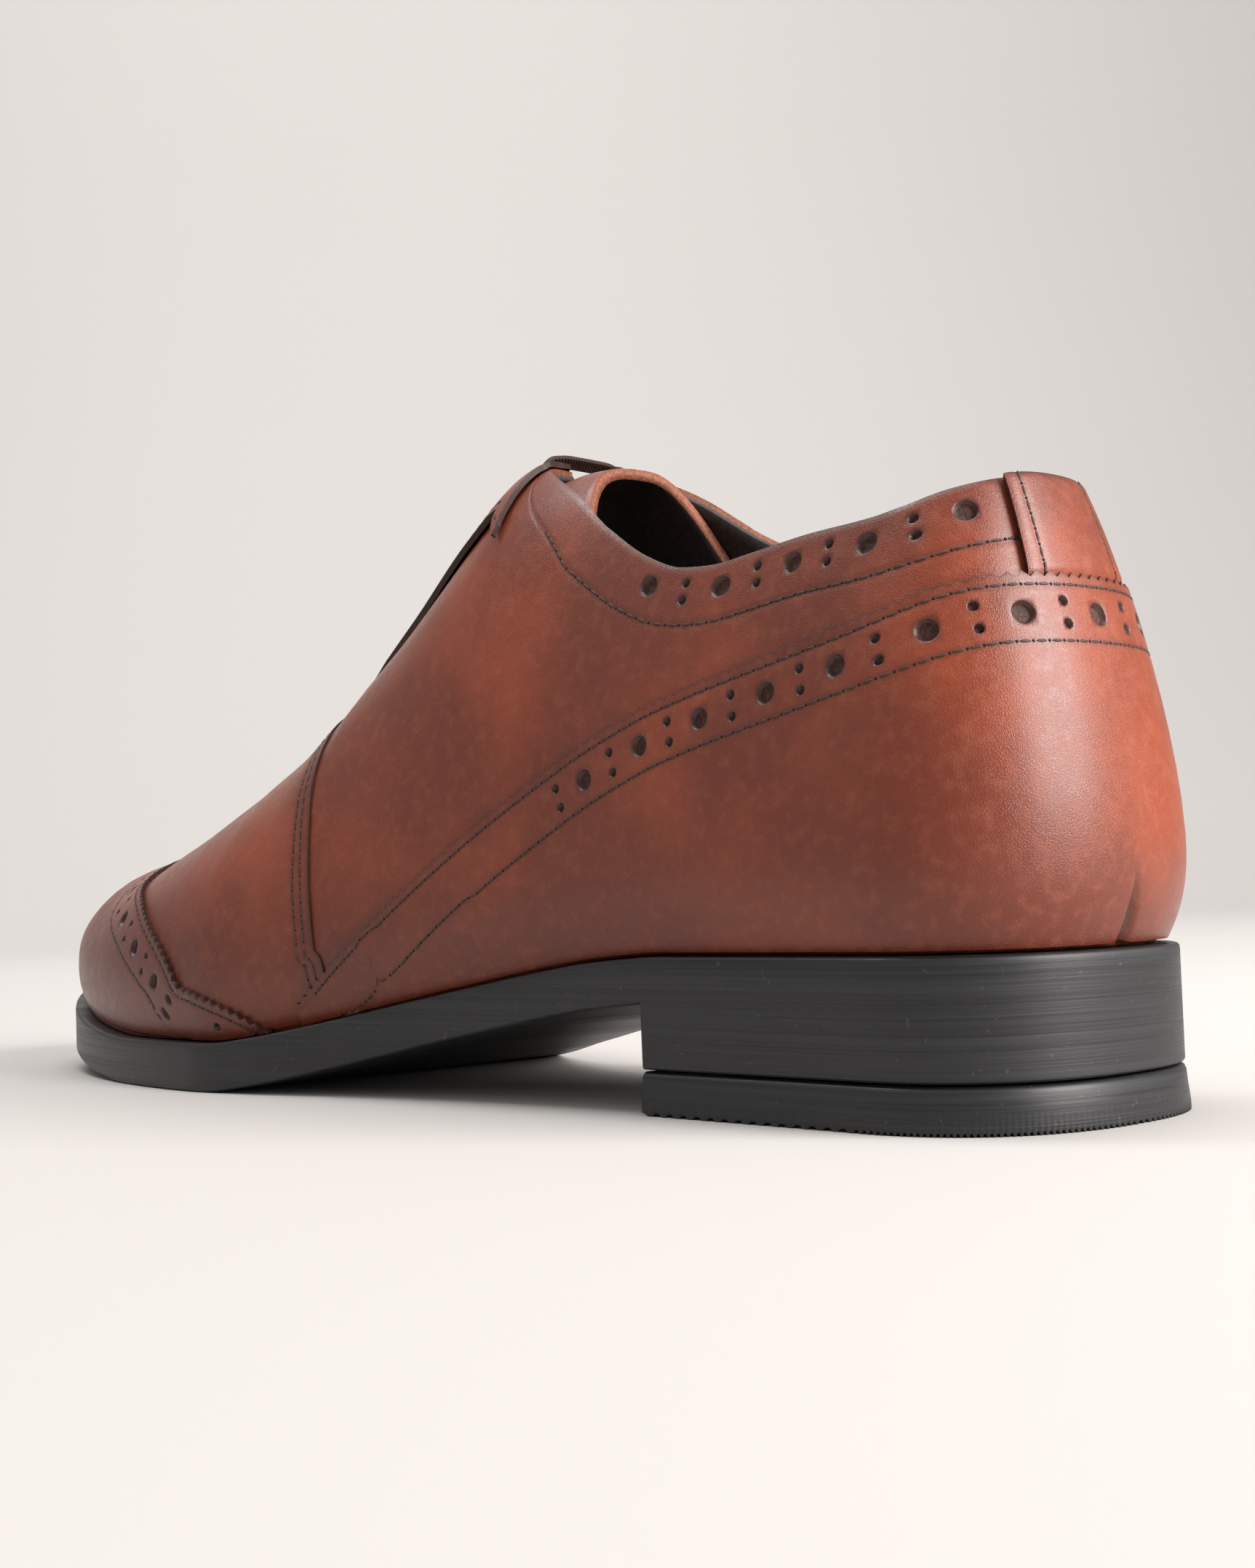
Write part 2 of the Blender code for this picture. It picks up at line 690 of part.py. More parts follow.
def make_outsole(parent):
    """Outsole: sole and heel block moulded in one, with the arch and the toe spring."""
    breast = position_at_edge(LATERAL, HEEL_LENGTH)
    waist = position_at_edge(LATERAL, HEEL_LENGTH + BREAST_STEP)
    stops = [p for p in range(LAST_COLUMN) if abs(p - breast) > 0.15]
    one_way = sorted(set(stops) | {breast, waist, LAST_COLUMN})
    places = [(LATERAL, p) for p in one_way] + [(MEDIAL, p) for p in one_way[::-1][1:-1]]
    rings = []
    for drop, grow in ((0.0, -BEVEL), (BEVEL, 0.0), (None, 0.0)):
        ring = []
        for side, position in places:
            x, y = outline_at(side, position)
            out = outward(side, position)
            top = edge_height(x)
            in_heel = position <= breast
            bottom = TOP_LIFT + CLEARANCE if in_heel else underside(x)
            z = bottom if drop is None else top - drop
            flare = HEEL_FLARE * (1 - z / HEEL_HEIGHT) if in_heel and drop is None else 0.0
            plan = np.array((x, y)) + out * (grow + flare)
            ring.append((*plan, z))
        rings.append(ring)
    sole = add_object("outsole", plate_from_rings("outsole", rings[::-1]), "sole_rubber", parent)
    shade(sole)


def make_top_lift(parent):
    """Top lift: the piece that the heel stands on."""
    end = position_at_edge(LATERAL, HEEL_LENGTH)
    places = [(LATERAL, p) for p in list(range(int(end) + 1)) + [end]]
    places += [(MEDIAL, p) for p in ([end] + list(range(int(end), 0, -1)))]
    rings = []
    for z in (0.0, TOP_LIFT):
        flare = HEEL_FLARE * (1 - z / HEEL_HEIGHT)
        ring = []
        for side, position in places:
            plan = outline_at(side, position) + outward(side, position) * flare
            ring.append((*plan, z))
        rings.append(ring)
    work = bmesh.new()
    low, high = [[work.verts.new(p) for p in ring] for ring in rings]
    for i in range(len(low)):
        j = (i + 1) % len(low)
        work.faces.new((low[i], low[j], high[j], high[i]))
    work.faces.new(low[::-1])
    work.faces.new(high)
    bmesh.ops.recalc_face_normals(work, faces=work.faces)
    mesh = bpy.data.meshes.new("top_lift")
    work.to_mesh(mesh)
    work.free()
    shade(add_object("heel_top_lift", mesh, "sole_rubber", parent))


def make_insole(parent):
    """Insole: lies on the sole, inside the upper."""
    rings = []
    for lift in (0.0, INSOLE_THICKNESS):
        ring = []
        for side, position in ring_positions(LAST_COLUMN):
            inset = section(position)["inset"] * BALL_WIDTH + WALL * INSOLE_WALLS + 2 * CLEARANCE
            plan = outline_at(side, position) - outward(side, position) * inset
            ring.append((*plan, edge_height(plan[0]) + INSOLE_LIFT + lift))
        rings.append(ring)
    shade(add_object("insole", plate_from_rings("insole", rings), "lining_leather", parent))


def make_laces(parent):
    """Lace: five bars across the throat, each from an eyelet to the one across."""
    lift = OVERLAY + 4 * CLEARANCE + LACE_THICKNESS / 2
    for i in range(EYELETS):
        position = position_at_share(FIRST_EYELET_SHARE + i * EYELET_PITCH / SHOE_LENGTH)
        reach = throat_gap(position) + EYELET_INSET
        line = []
        for side in (MEDIAL, LATERAL):
            steps = np.linspace(level_at_gap(side, position, reach), 1.995, 5)
            points = [surface_point(side, position, v) for v in steps]
            points = [
                point + surface_normal(side, position, v) * lift
                for point, v in zip(points, steps)
            ]
            line += points if side == MEDIAL else points[::-1]
        bar = bpy.data.curves.new(f"lace_bar_{i + 1}", "CURVE")
        bar.dimensions = "3D"
        bar.bevel_depth = LACE_THICKNESS / 2
        bar.bevel_resolution = 1
        bar.use_fill_caps = True
        spline = bar.splines.new("POLY")
        spline.points.add(len(line) - 1)
        for point, spot in zip(spline.points, line):
            point.co = (*spot, 1.0)
        obj = bpy.data.objects.new(f"lace_bar_{i + 1}", bar)
        bar.materials.append(material("lace_cotton"))
        bpy.data.collections["brogue_shoe"].objects.link(obj)
        obj.parent = parent


def main():
    clear_scene()
    shoe = bpy.data.collections.new("brogue_shoe")
    bpy.context.scene.collection.children.link(shoe)
    place = bpy.data.objects.new("shoe", None)
    place.location = (-HEEL_LENGTH / 2, 0.0, 0.0)
    shoe.objects.link(place)
    make_upper(place)
    make_counter(place)
    make_back_strip(place)
    make_wing_cap(place)
    make_facings(place)
    make_tongue(place)
    make_outsole(place)
    make_top_lift(place)
    make_insole(place)
    make_laces(place)


main()
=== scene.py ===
import math

import bmesh
import bpy
import numpy as np
from mathutils import Matrix, Vector


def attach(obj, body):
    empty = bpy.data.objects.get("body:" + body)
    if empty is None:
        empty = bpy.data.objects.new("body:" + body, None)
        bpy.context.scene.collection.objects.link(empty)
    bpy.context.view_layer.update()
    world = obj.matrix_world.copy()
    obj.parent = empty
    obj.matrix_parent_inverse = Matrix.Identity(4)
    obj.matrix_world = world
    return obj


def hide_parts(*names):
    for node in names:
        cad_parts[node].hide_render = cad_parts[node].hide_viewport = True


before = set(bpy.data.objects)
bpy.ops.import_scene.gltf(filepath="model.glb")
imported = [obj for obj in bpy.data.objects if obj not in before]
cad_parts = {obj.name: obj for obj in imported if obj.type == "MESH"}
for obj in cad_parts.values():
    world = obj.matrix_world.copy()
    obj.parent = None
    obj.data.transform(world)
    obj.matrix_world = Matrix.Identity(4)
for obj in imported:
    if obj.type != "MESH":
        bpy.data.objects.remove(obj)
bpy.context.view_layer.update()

# The last, in metres: the outside of the upper is worked out from these, as in the part
SHOE_LENGTH = 0.300
HEEL_LENGTH = 0.074
BACK_X = -HEEL_LENGTH / 2
HEEL_WIDTH = 0.0627
HEEL_ARC = 0.0288
HEEL_SQUARENESS = 2.37
BALL_WIDTH = 0.100
TOE_TIP_OFFSET = -0.009
HEEL_HEIGHT = 0.0261
HEEL_FLARE = 0.0007
TOP_LIFT = 0.0072
LIFT_GAP = 0.0003
SOLE_EDGE = 0.0096
WAIST_EDGE = 0.0078
TOE_SPRING = 0.011
BACK_HEIGHT = 0.0735
WALL = 0.0022
THROAT = 0.600
FACING_TOP = 0.400
FACING_GAP = 0.0090
COMMON_SHARE = 0.533
BALL_SHARES = {1: 0.627, -1: 0.700}
POLE_SHARE = 0.850
POLE_SLOPE = -0.24
BULGE_POWER = 2.4
SOFTENING = 0.12
TREAD_FLAT = (0.613, 0.717)

# Columns along one side: heel arc, common stretch, ball, toe
PARTS = (7, 19, 5, 11)
LAST = sum(PARTS)

WAIST = (
    # station, lateral, medial
    (0.090, 0.3135, 0.3135), (0.096, 0.3135, 0.3135), (0.200, 0.3190, 0.3050),
    (0.300, 0.3260, 0.2760), (0.400, 0.3580, 0.2560), (0.500, 0.4230, 0.2920),
    (0.573, 0.4830, 0.3700),
    (0.627, 0.5100, 0.4480), (0.665, 0.5100, 0.4770), (0.700, 0.5100, 0.4900),
    (0.760, 0.5100, 0.4900),
)
UNDERSIDE = (
    # station, height as a share of the heel's
    (0.245, 0.701), (0.300, 0.640), (0.400, 0.440), (0.500, 0.205), (0.567, 0.060),
    (0.613, 0.000), (0.717, 0.000), (0.800, 0.062), (0.883, 0.182), (0.950, 0.312),
    (1.000, 0.4215),
)
SECTIONS = (
    # station, ridge, ridge_shift, widest, over_lateral, over_medial, inset, side, top
    (0.000, 1.223, 0.000, 0.211, 0.003, 0.003, 0.036, 2.05, 1.34),
    (0.096, 1.250, 0.000, 0.211, 0.003, 0.003, 0.036, 2.05, 1.36),
    (0.200, 1.270, -0.010, 0.205, 0.002, 0.005, 0.036, 2.20, 1.45),
    (0.300, 1.282, -0.020, 0.205, 0.003, 0.020, 0.036, 2.55, 1.56),
    (0.377, 1.352, -0.030, 0.210, 0.006, 0.040, 0.037, 2.80, 1.64),
    (0.400, 1.355, -0.032, 0.210, 0.005, 0.042, 0.038, 2.80, 1.66),
    (0.433, 1.297, -0.035, 0.205, 0.002, 0.040, 0.040, 2.75, 1.70),
    (0.500, 1.120, -0.040, 0.190, -0.010, 0.020, 0.046, 2.55, 1.80),
    (0.583, 0.922, -0.040, 0.165, -0.020, -0.010, 0.052, 2.35, 1.95),
    (0.667, 0.767, -0.040, 0.150, -0.024, -0.022, 0.054, 2.25, 2.10),
    (0.750, 0.622, -0.045, 0.136, -0.024, -0.024, 0.052, 2.20, 2.30),
    (0.850, 0.470, -0.060, 0.122, -0.024, -0.024, 0.050, 2.20, 2.45),
    (1.000, 0.420, -0.080, 0.115, -0.024, -0.024, 0.050, 2.20, 2.50),
)
TOPLINE = (
    # station, lateral, medial
    (0.000, 0.990, 0.990), (0.020, 0.972, 0.974), (0.042, 0.955, 0.960),
    (0.072, 0.932, 0.940), (0.105, 0.918, 0.930), (0.140, 0.910, 0.925),
    (0.180, 0.890, 0.912), (0.207, 0.878, 0.902), (0.232, 0.885, 0.915),
    (0.262, 0.935, 0.972), (0.301, 1.040, 1.073), (0.316, 1.090, 1.124),
    (0.341, 1.180, 1.210), (0.367, 1.258, 1.283), (0.393, 1.325, 1.340),
    (0.410, 1.360, 1.360),
)
COUNTER_EDGE = (
    (0.000, 0.770), (0.020, 0.762), (0.045, 0.742), (0.080, 0.706), (0.145, 0.652),
    (0.210, 0.597), (0.280, 0.520), (0.350, 0.425), (0.420, 0.310), (0.480, 0.190),
    (0.530, 0.070),
)
# Rear edges of the wing cap and of the vamp: level on the section, station
WING_EDGE = (
    (0.00, 0.560), (0.60, 0.615), (1.05, 0.685), (1.30, 0.745), (1.50, 0.790),
    (1.70, 0.805), (1.86, 0.775), (2.00, 0.735),
)
VAMP_EDGE = (
    (0.00, 0.502), (0.80, 0.507), (1.20, 0.523), (1.50, 0.548), (1.80, 0.580),
    (2.00, 0.597),
)

# Leather pieces, in metres: how far their outside stands off the last
COUNTER_LIFT = 0.0014
STRIP_LIFT = 0.0014
WING_LIFT = 0.0015
FACING_LIFT = 0.0016
VAMP_LIFT = 0.0005
OVERLAY = 0.0011
QUARTER_THICKNESS = 0.0013
FOOT_LEVEL = 0.07  # the overlays end at this level, behind the sole's edge
SEWN_FROM = 0.14  # no stitches or holes lie lower than this level
SEWN_TO = 1.99  # nor higher than this one, on the ridge
CELL = 0.0006  # spacing of the finest grid, which holds the punched holes
QUARTER_CELL = 0.00075
BAND_ROWS = 22  # rows of cells along a pinked edge
PINKED_SEAMS = (3.6, 18.5)  # rows of the two seams along a pinked edge
STRIP_WIDTH = 0.0200
STRIP_FOOT_WIDTH = 0.0250
STRIP_DEPTH = 0.0188
FACING_WIDTH = 0.0215
FACING_ROWS = 36
EYELET_INSET = 0.0065
EYELET_HOLE = 0.0017
LACE_HALF_WIDTH = 0.0019
LACE_THICKNESS = 0.0009
TONGUE_SINK = 0.0036  # from the last's surface down to the tongue's
TONGUE_THICKNESS = 0.0020
TONGUE_TOP = 0.352

# Punching and sewing, in metres
BIG_HOLE = 0.00175
SMALL_HOLE = 0.00080
SMALL_HOLE_SPREAD = 0.0020
PINKED_PITCH = 0.0144
TOPLINE_PITCH = 0.0150
PINKED_HOLES_IN = 0.0066  # from the pinked edge to the row of holes
TOPLINE_HOLES_IN = 0.0047
TOPLINE_SEAM_IN = 0.0104
PUNCHED_REACH = 0.112  # how far the holes run from the heel's back
TOPLINE_REACH = 0.084
PIT_DEPTH = 0.0009
STITCH_PITCH = 0.00255
STITCH_LENGTH = 0.00200
THREAD = 0.00030
GROOVE_DEPTH = 0.00014
GROOVE_WIDTH = 0.00045
TOOTH_DEPTH = 0.0010
EDGE_INK_AND_SHADOW = 0.0007  # how far the dark band along a cut edge runs on to the leather: partly real edge ink, partly painted shadow of the gap under the edge
# width of the painted shade along the groove under a seam
SEAM_SHADE = 0.0005
LAST_SHADED_BELOW = 0.02  # under this much edge ink and painted shade the leather is flat and is shaded like the last
TOOTH_CELLS = 4
DART_HEIGHT = 0.0126  # seam pinched in at the heel's back, over the sole
DART_DEPTH = 0.0009
DART_SPREAD = 1.4  # how much wider the dart is at the sole, in cells

# Photograph's camera: place and aim by the sole's edges, then turned to take in the toe
CAMERA_FROM_HEEL = (-0.17671, 0.26346, 0.03805)
CAMERA_AIM = (0.5564, -0.8295, 0.0490)
CAMERA_ROLL = -0.035
CAMERA_PAN = 13.6  # degrees towards the toe, so that the whole shoe is in the frame
FOCAL_PIXELS = 2827.2
PICTURE_HEIGHT = 2156
SENSOR = 36.0

SOLE_SHARP_ANGLE = 38
TREAD_NOTCH = 0.0011


def table_value(rows, station, column):
    """Value of a table's column at stations, on a smooth curve through its rows."""
    table = np.array(rows, float)
    x, y = table[:, 0], table[:, column]
    steps = np.diff(y) / np.diff(x)
    slopes = np.zeros(len(x))
    same = steps[:-1] * steps[1:] > 0
    before, after = x[1:-1] - x[:-2], x[2:] - x[1:-1]
    with np.errstate(divide="ignore", invalid="ignore"):
        mean = (before + after) / (before / steps[:-1] + after / steps[1:])
    slopes[1:-1] = np.where(same, mean, 0)
    slopes[0], slopes[-1] = steps[0], steps[-1]
    at = np.clip(np.asarray(station, float), x[0], x[-1])
    i = np.clip(np.searchsorted(x, at) - 1, 0, len(x) - 2)
    width = x[i + 1] - x[i]
    t = (at - x[i]) / width
    return (
        y[i] * (1 + 2 * t) * (1 - t) ** 2
        + slopes[i] * width * t * (1 - t) ** 2
        + y[i + 1] * t**2 * (3 - 2 * t)
        + slopes[i + 1] * width * t**2 * (t - 1)
    )


def outline(side, p):
    """Sole's edge at positions along one side, with x from the heel's back."""
    p = np.asarray(p, float)
    starts = np.concatenate([[0], np.cumsum(PARTS)])
    heel, common, ball, toe = (np.clip((p - s) / n, 0, 1) for s, n in zip(starts, PARTS))
    ball_x = BALL_SHARES[side] * SHOE_LENGTH
    common_x = COMMON_SHARE * SHOE_LENGTH
    power = 2 / HEEL_SQUARENESS
    turn = heel * math.pi / 2
    x = HEEL_ARC * (1 - np.cos(turn) ** power)
    x = x + common * (common_x - HEEL_ARC) + ball * (ball_x - common_x)
    x = x + (SHOE_LENGTH - ball_x) * np.sin(toe * math.pi / 2)
    column = 1 if side > 0 else 2
    width = side * BALL_WIDTH * table_value(WAIST, np.minimum(x, ball_x) / SHOE_LENGTH, column)
    y = np.where(p < PARTS[0], side * HEEL_WIDTH / 2 * np.sin(turn) ** power, width)
    y = TOE_TIP_OFFSET + (y - TOE_TIP_OFFSET) * np.cos(toe * math.pi / 2)
    return x, y


def outward(side, p):
    """Unit normal of the sole's edge, out of the shoe."""
    step = 0.02
    x1, y1 = outline(side, np.clip(p - step, 0, LAST))
    x2, y2 = outline(side, np.clip(p + step, 0, LAST))
    along = np.stack([x2 - x1, y2 - y1], -1)
    along /= np.linalg.norm(along, axis=-1, keepdims=True)
    out = np.stack([-along[..., 1], along[..., 0]], -1) * side
    ends = np.where(p < step, -1.0, 1.0)
    at_end = (p < step) | (p > LAST - step)
    straight = np.stack([ends, np.zeros_like(ends)], -1)
    return np.where(at_end[..., None], straight, out)


def underside(x):
    """Height of the sole's underside in front of the heel."""
    height = table_value(UNDERSIDE, x / SHOE_LENGTH, 1)
    toe = height / UNDERSIDE[-1][1] * TOE_SPRING
    arch = height * (HEEL_HEIGHT - WAIST_EDGE) / UNDERSIDE[0][1]
    return np.where(x > TREAD_FLAT[1] * SHOE_LENGTH, toe, arch)


def true_edge_height(x):
    """Height of the sole's upper edge, with a step at the heel's front."""
    share = np.clip((x - HEEL_LENGTH) / (TREAD_FLAT[0] * SHOE_LENGTH - HEEL_LENGTH), 0, 1)
    thickness = WAIST_EDGE + (SOLE_EDGE - WAIST_EDGE) * share
    in_front = np.minimum(HEEL_HEIGHT, underside(x) + thickness)
    return np.where(x <= HEEL_LENGTH, HEEL_HEIGHT, in_front)


EDGE_X = np.linspace(-0.02, SHOE_LENGTH + 0.02, 1701)
EASING = np.hanning(45) / np.hanning(45).sum()
EDGE_Z = np.convolve(np.pad(true_edge_height(EDGE_X), 22, mode="edge"), EASING, mode="valid")


def edge_height(x):
    """Height of the sole's upper edge over the floor, eased over the heel's front."""
    return np.interp(x, EDGE_X, EDGE_Z)


def mean_x(p):
    return (outline(1, p)[0] + outline(-1, p)[0]) / 2


def last_point(side, p, level):
    """Outside of the upper: level runs from the foot at 0, through the widest point of the
    section at 1, to the ridge at 2. x is from the heel's back."""
    p, level = np.broadcast_arrays(np.asarray(p, float), np.asarray(level, float))
    share = mean_x(p) / SHOE_LENGTH
    widest_share, inset, side_power, top_power = (
        table_value(SECTIONS, share, c) for c in (3, 6, 7, 8)
    )
    over = table_value(SECTIONS, share, 4 if side > 0 else 5)
    edge = np.stack(outline(side, p), -1)
    out = outward(side, p)
    foot = edge - out * inset[..., None] * BALL_WIDTH
    widest = edge + out * over[..., None] * BALL_WIDTH
    foot_z = edge_height(edge[..., 0]) + LIFT_GAP
    widest_z = foot_z + BACK_HEIGHT * widest_share
    apex_x = np.clip(share * SHOE_LENGTH, HEEL_ARC, POLE_SHARE * SHOE_LENGTH)
    apex = np.stack([apex_x, BALL_WIDTH * table_value(SECTIONS, apex_x / SHOE_LENGTH, 2)], -1)
    ridge_z = edge_height(apex_x) + BACK_HEIGHT * table_value(SECTIONS, apex_x / SHOE_LENGTH, 1)
    low = np.clip(level, 0, 1)
    low_plan = widest + (foot - widest) * ((1 - low) ** BULGE_POWER)[..., None]
    rise = np.sin(np.clip(level - 1, 0, 1) * math.pi / 2)
    soft = rise**2 / (rise + SOFTENING) ** (2 - top_power) * (1 + SOFTENING) ** (2 - top_power)
    reach = np.clip(1 - soft, 0, 1) ** (1 / side_power)
    high_plan = apex + (widest - apex) * reach[..., None]
    beyond = np.maximum(0, high_plan[..., 0] - POLE_SHARE * SHOE_LENGTH)
    high_z = widest_z + rise * (ridge_z - widest_z) + POLE_SLOPE * beyond * rise
    plan = np.where((level <= 1)[..., None], low_plan, high_plan)
    z = np.where(level <= 1, foot_z + low * (widest_z - foot_z), high_z)
    return np.concatenate([plan, z[..., None]], -1)


def on_last(w, level):
    """Point of the last in the shoe's frame. w is the position along the outline, above 0 on
    the outer side and below 0 on the inner side, with the heel's back at 0."""
    w, level = np.broadcast_arrays(np.asarray(w, float), np.asarray(level, float))
    lateral = last_point(1, np.abs(w), level)
    medial = last_point(-1, np.abs(w), level)
    found = np.where((w >= 0)[..., None], lateral, medial)
    return found + np.array((BACK_X, 0, 0))


RIDGE_EASE = 1.975  # from this level up, the two sides' normals are eased into each other


def one_side(w, level):
    """The last's two tangents and its outward normal, from one side of the shoe alone."""
    level = np.clip(level, 0.0, 1.996)
    turn, rise = 0.06, 0.012
    side = np.where(w >= 0, 1.0, -1.0)
    ahead = np.minimum(np.abs(w) + turn, LAST) * side
    behind = np.where(np.abs(w) < turn, w - turn * side, (np.abs(w) - turn) * side)
    gap = np.where(np.abs(w) < turn, np.abs(ahead - behind), np.abs(ahead) - np.abs(behind))
    along = (on_last(ahead, level) - on_last(behind, level)) / gap[..., None]
    high = np.minimum(level + rise, 1.999)
    low = np.maximum(level - rise, 0)
    up = (on_last(w, high) - on_last(w, low)) / (high - low)[..., None]
    normal = np.cross(up, along) * side[..., None]
    normal /= np.maximum(np.linalg.norm(normal, axis=-1, keepdims=True), 1e-12)
    return along * side[..., None], up, normal


def slopes(w, level):
    """The last's two tangents and its outward normal, the same from both sides at the ridge
    and at the toe's tip."""
    w, level = np.broadcast_arrays(np.asarray(w, float), np.asarray(level, float))
    along, up, normal = one_side(w, level)
    near_ridge = np.clip((level - RIDGE_EASE) / (2 - RIDGE_EASE), 0, 1)
    near_tip = np.clip((np.abs(w) - LAST + 0.5) / 0.5, 0, 1)
    near = np.maximum(near_ridge, near_tip)
    shared = near > 0
    if shared.any():
        other = one_side(-w[shared], level[shared])[2]
        ease = near[shared][:, None] / 2
        normal[shared] = normal[shared] * (1 - ease) + other * ease
        normal[shared] /= np.linalg.norm(normal[shared], axis=-1, keepdims=True)
    return along, up, normal


RIB = np.concatenate([np.linspace(0, 1, 24), np.linspace(1, 2, 97)[1:]])


def level_at_height(side, p, height):
    z = last_point(side, np.asarray(p)[:, None], RIB[None, :])[..., 2]
    return np.array([np.interp(h, row, RIB) for h, row in zip(height, z)])


def level_at_gap(side, p, gap):
    """Level at which the section comes within a distance of the ridge, in plan."""
    points = last_point(side, np.asarray(p)[:, None], RIB[None, 24:])
    reach = np.linalg.norm(points[..., :2] - points[:, -1:, :2], axis=-1)
    return np.array([np.interp(-g, -row, RIB[24:]) for g, row in zip(gap, reach)])


def edge_level(rows, side, p):
    """Level of a line drawn on the last, from its table of heights."""
    x = outline(side, p)[0]
    column = 2 if side < 0 and len(rows[0]) == 3 else 1
    height = edge_height(x) + BACK_HEIGHT * table_value(rows, x / SHOE_LENGTH, column)
    return level_at_height(side, p, height)


def top_level(side, p):
    """Level at which the quarters end: the topline, then the facing, then the ridge."""
    p = np.asarray(p, float)
    share = (THROAT - mean_x(p) / SHOE_LENGTH) / (THROAT - FACING_TOP)
    by_gap = level_at_gap(side, p, FACING_GAP / 2 * np.clip(share, 0, 1.3))
    level = np.minimum(edge_level(TOPLINE, side, p), by_gap)
    return np.where(share <= 0, 2.0, level)


def position_at(share):
    """Position along the outline whose mean station is a share of the length."""
    steps = np.linspace(0, LAST, 1200)
    return np.interp(np.asarray(share) * SHOE_LENGTH, mean_x(steps), steps)


def signed(side_level, w):
    """A level for signed positions, from a function of side and position."""
    w = np.asarray(w, float)
    found = np.zeros(len(w))
    for side in (1, -1):
        mine = (w >= 0) if side > 0 else (w < 0)
        if mine.any():
            found[mine] = side_level(side, np.abs(w[mine]))
    return found


def along_edge(w, level, spacing, centre=True):
    """Positions and levels at an even spacing along a line on the last. With centre, one of
    them is at the heel's back."""
    points = on_last(w, level)
    run = np.concatenate([[0], np.cumsum(np.linalg.norm(np.diff(points, axis=0), axis=1))])
    zero = np.interp(0, w, run) if centre else 0.0
    first = math.floor(zero / spacing) if centre else 0
    marks = zero + spacing * np.arange(-first, math.floor((run[-1] - zero) / spacing) + 1)
    return np.interp(marks, run, w), np.interp(marks, run, level), first


def in_order(values):
    """Values with every step back taken out, so that no two columns cross."""
    ahead = np.maximum.accumulate(values)
    behind = np.minimum.accumulate(values[::-1])[::-1]
    return (ahead + behind) / 2


def march(w, level, steps, held, floor=0.0, up_the_side=False):
    """Rows of places at distances from an edge, square to it, as leather is marked out.

    The end columns keep to their ribs, and a column that meets the sole or the ridge stops
    there. An edge runs round the shoe, or up the side to the ridge.
    """
    a, b = [np.array(w)], [np.array(level)]
    ends = np.minimum(np.arange(len(w)), np.arange(len(w))[::-1]) / held
    keep = np.clip(ends, 0, 1)
    for step in steps:
        p, q = a[-1], b[-1]
        along, up, normal = slopes(p, q)
        tangent = np.gradient(on_last(p, q), axis=0)
        tangent /= np.maximum(np.linalg.norm(tangent, axis=-1, keepdims=True), 1e-12)
        down = np.cross(normal, tangent)
        g11, g12, g22 = (along * along).sum(-1), (along * up).sum(-1), (up * up).sum(-1)
        r1, r2 = (along * down).sum(-1), (up * down).sum(-1)
        det = np.maximum(g11 * g22 - g12**2, 1e-18)
        da = (r1 * g22 - r2 * g12) / det * keep
        db = (r2 * g11 - r1 * g12) / det
        next_q = q + step * db
        stopped = (next_q <= floor) | (next_q >= 2)
        p = np.where(stopped, p, p + step * da)
        q = np.clip(next_q, floor, 2)
        q[1:-1] = np.where(stopped[1:-1], q[1:-1], q[1:-1] * 0.8 + (q[:-2] + q[2:]) * 0.1)
        if up_the_side:
            q[-1] = 2.0
            q = in_order(q)
        else:
            p = in_order(p)
        a.append(p)
        b.append(q)
    return np.array(a).T, np.array(b).T


class Laid:
    """A piece of leather laid on the last: a grid of places and its distance off the last.
    Places on it are counted in cells along its edge (i) and in from the edge (j)."""

    def __init__(self, w, level, lift):
        self.w, self.level = w, level
        self.lift = np.broadcast_to(lift, w.shape)

    def read(self, grid, i, j):
        high, wide = grid.shape
        i, j = np.clip(i, 0, high - 1), np.clip(j, 0, wide - 1)
        a = np.clip(np.floor(i).astype(int), 0, high - 2)
        b = np.clip(np.floor(j).astype(int), 0, wide - 2)
        s, t = i - a, j - b
        top = grid[a, b] * (1 - s) + grid[a + 1, b] * s
        bottom = grid[a, b + 1] * (1 - s) + grid[a + 1, b + 1] * s
        return top * (1 - t) + bottom * t

    def points(self, i, j, out=0.0):
        w = self.read(self.w, i, j)
        level = np.clip(self.read(self.level, i, j), 0, 2)
        normal = slopes(w, level)[2]
        lift = self.read(self.lift, i, j) + out
        return on_last(w, level) + normal * lift[..., None], normal

    def frames(self, i, j, out=0.0, step=0.4):
        """Point, direction along the edge and normal, for what is sewn or set there."""
        here, normal = self.points(i, j, out)
        along = self.points(i + step, j, out)[0] - self.points(i - step, j, out)[0]
        along /= np.linalg.norm(along, axis=-1, keepdims=True)
        return here, along, normal


def square_to_disc(a, b):
    return a * math.sqrt(1 - b * b / 2), b * math.sqrt(1 - a * a / 2)


# Rings of a punched hole, from the lip inwards: what is added to the hole's radius, the
# share of it, depth, and darkness: painted shade on the lip and down the wall of the hole
PIT = (
    (0.00018, 1.0, 0.0, 0.55), (0.0, 1.0, 0.00014, 1.0),
    (0.0, 0.9, PIT_DEPTH, 1.0), (0.0, 0.9, PIT_DEPTH, 0.6),
)
INSET = 0.08  # width of a ring on the flat grid, in cells


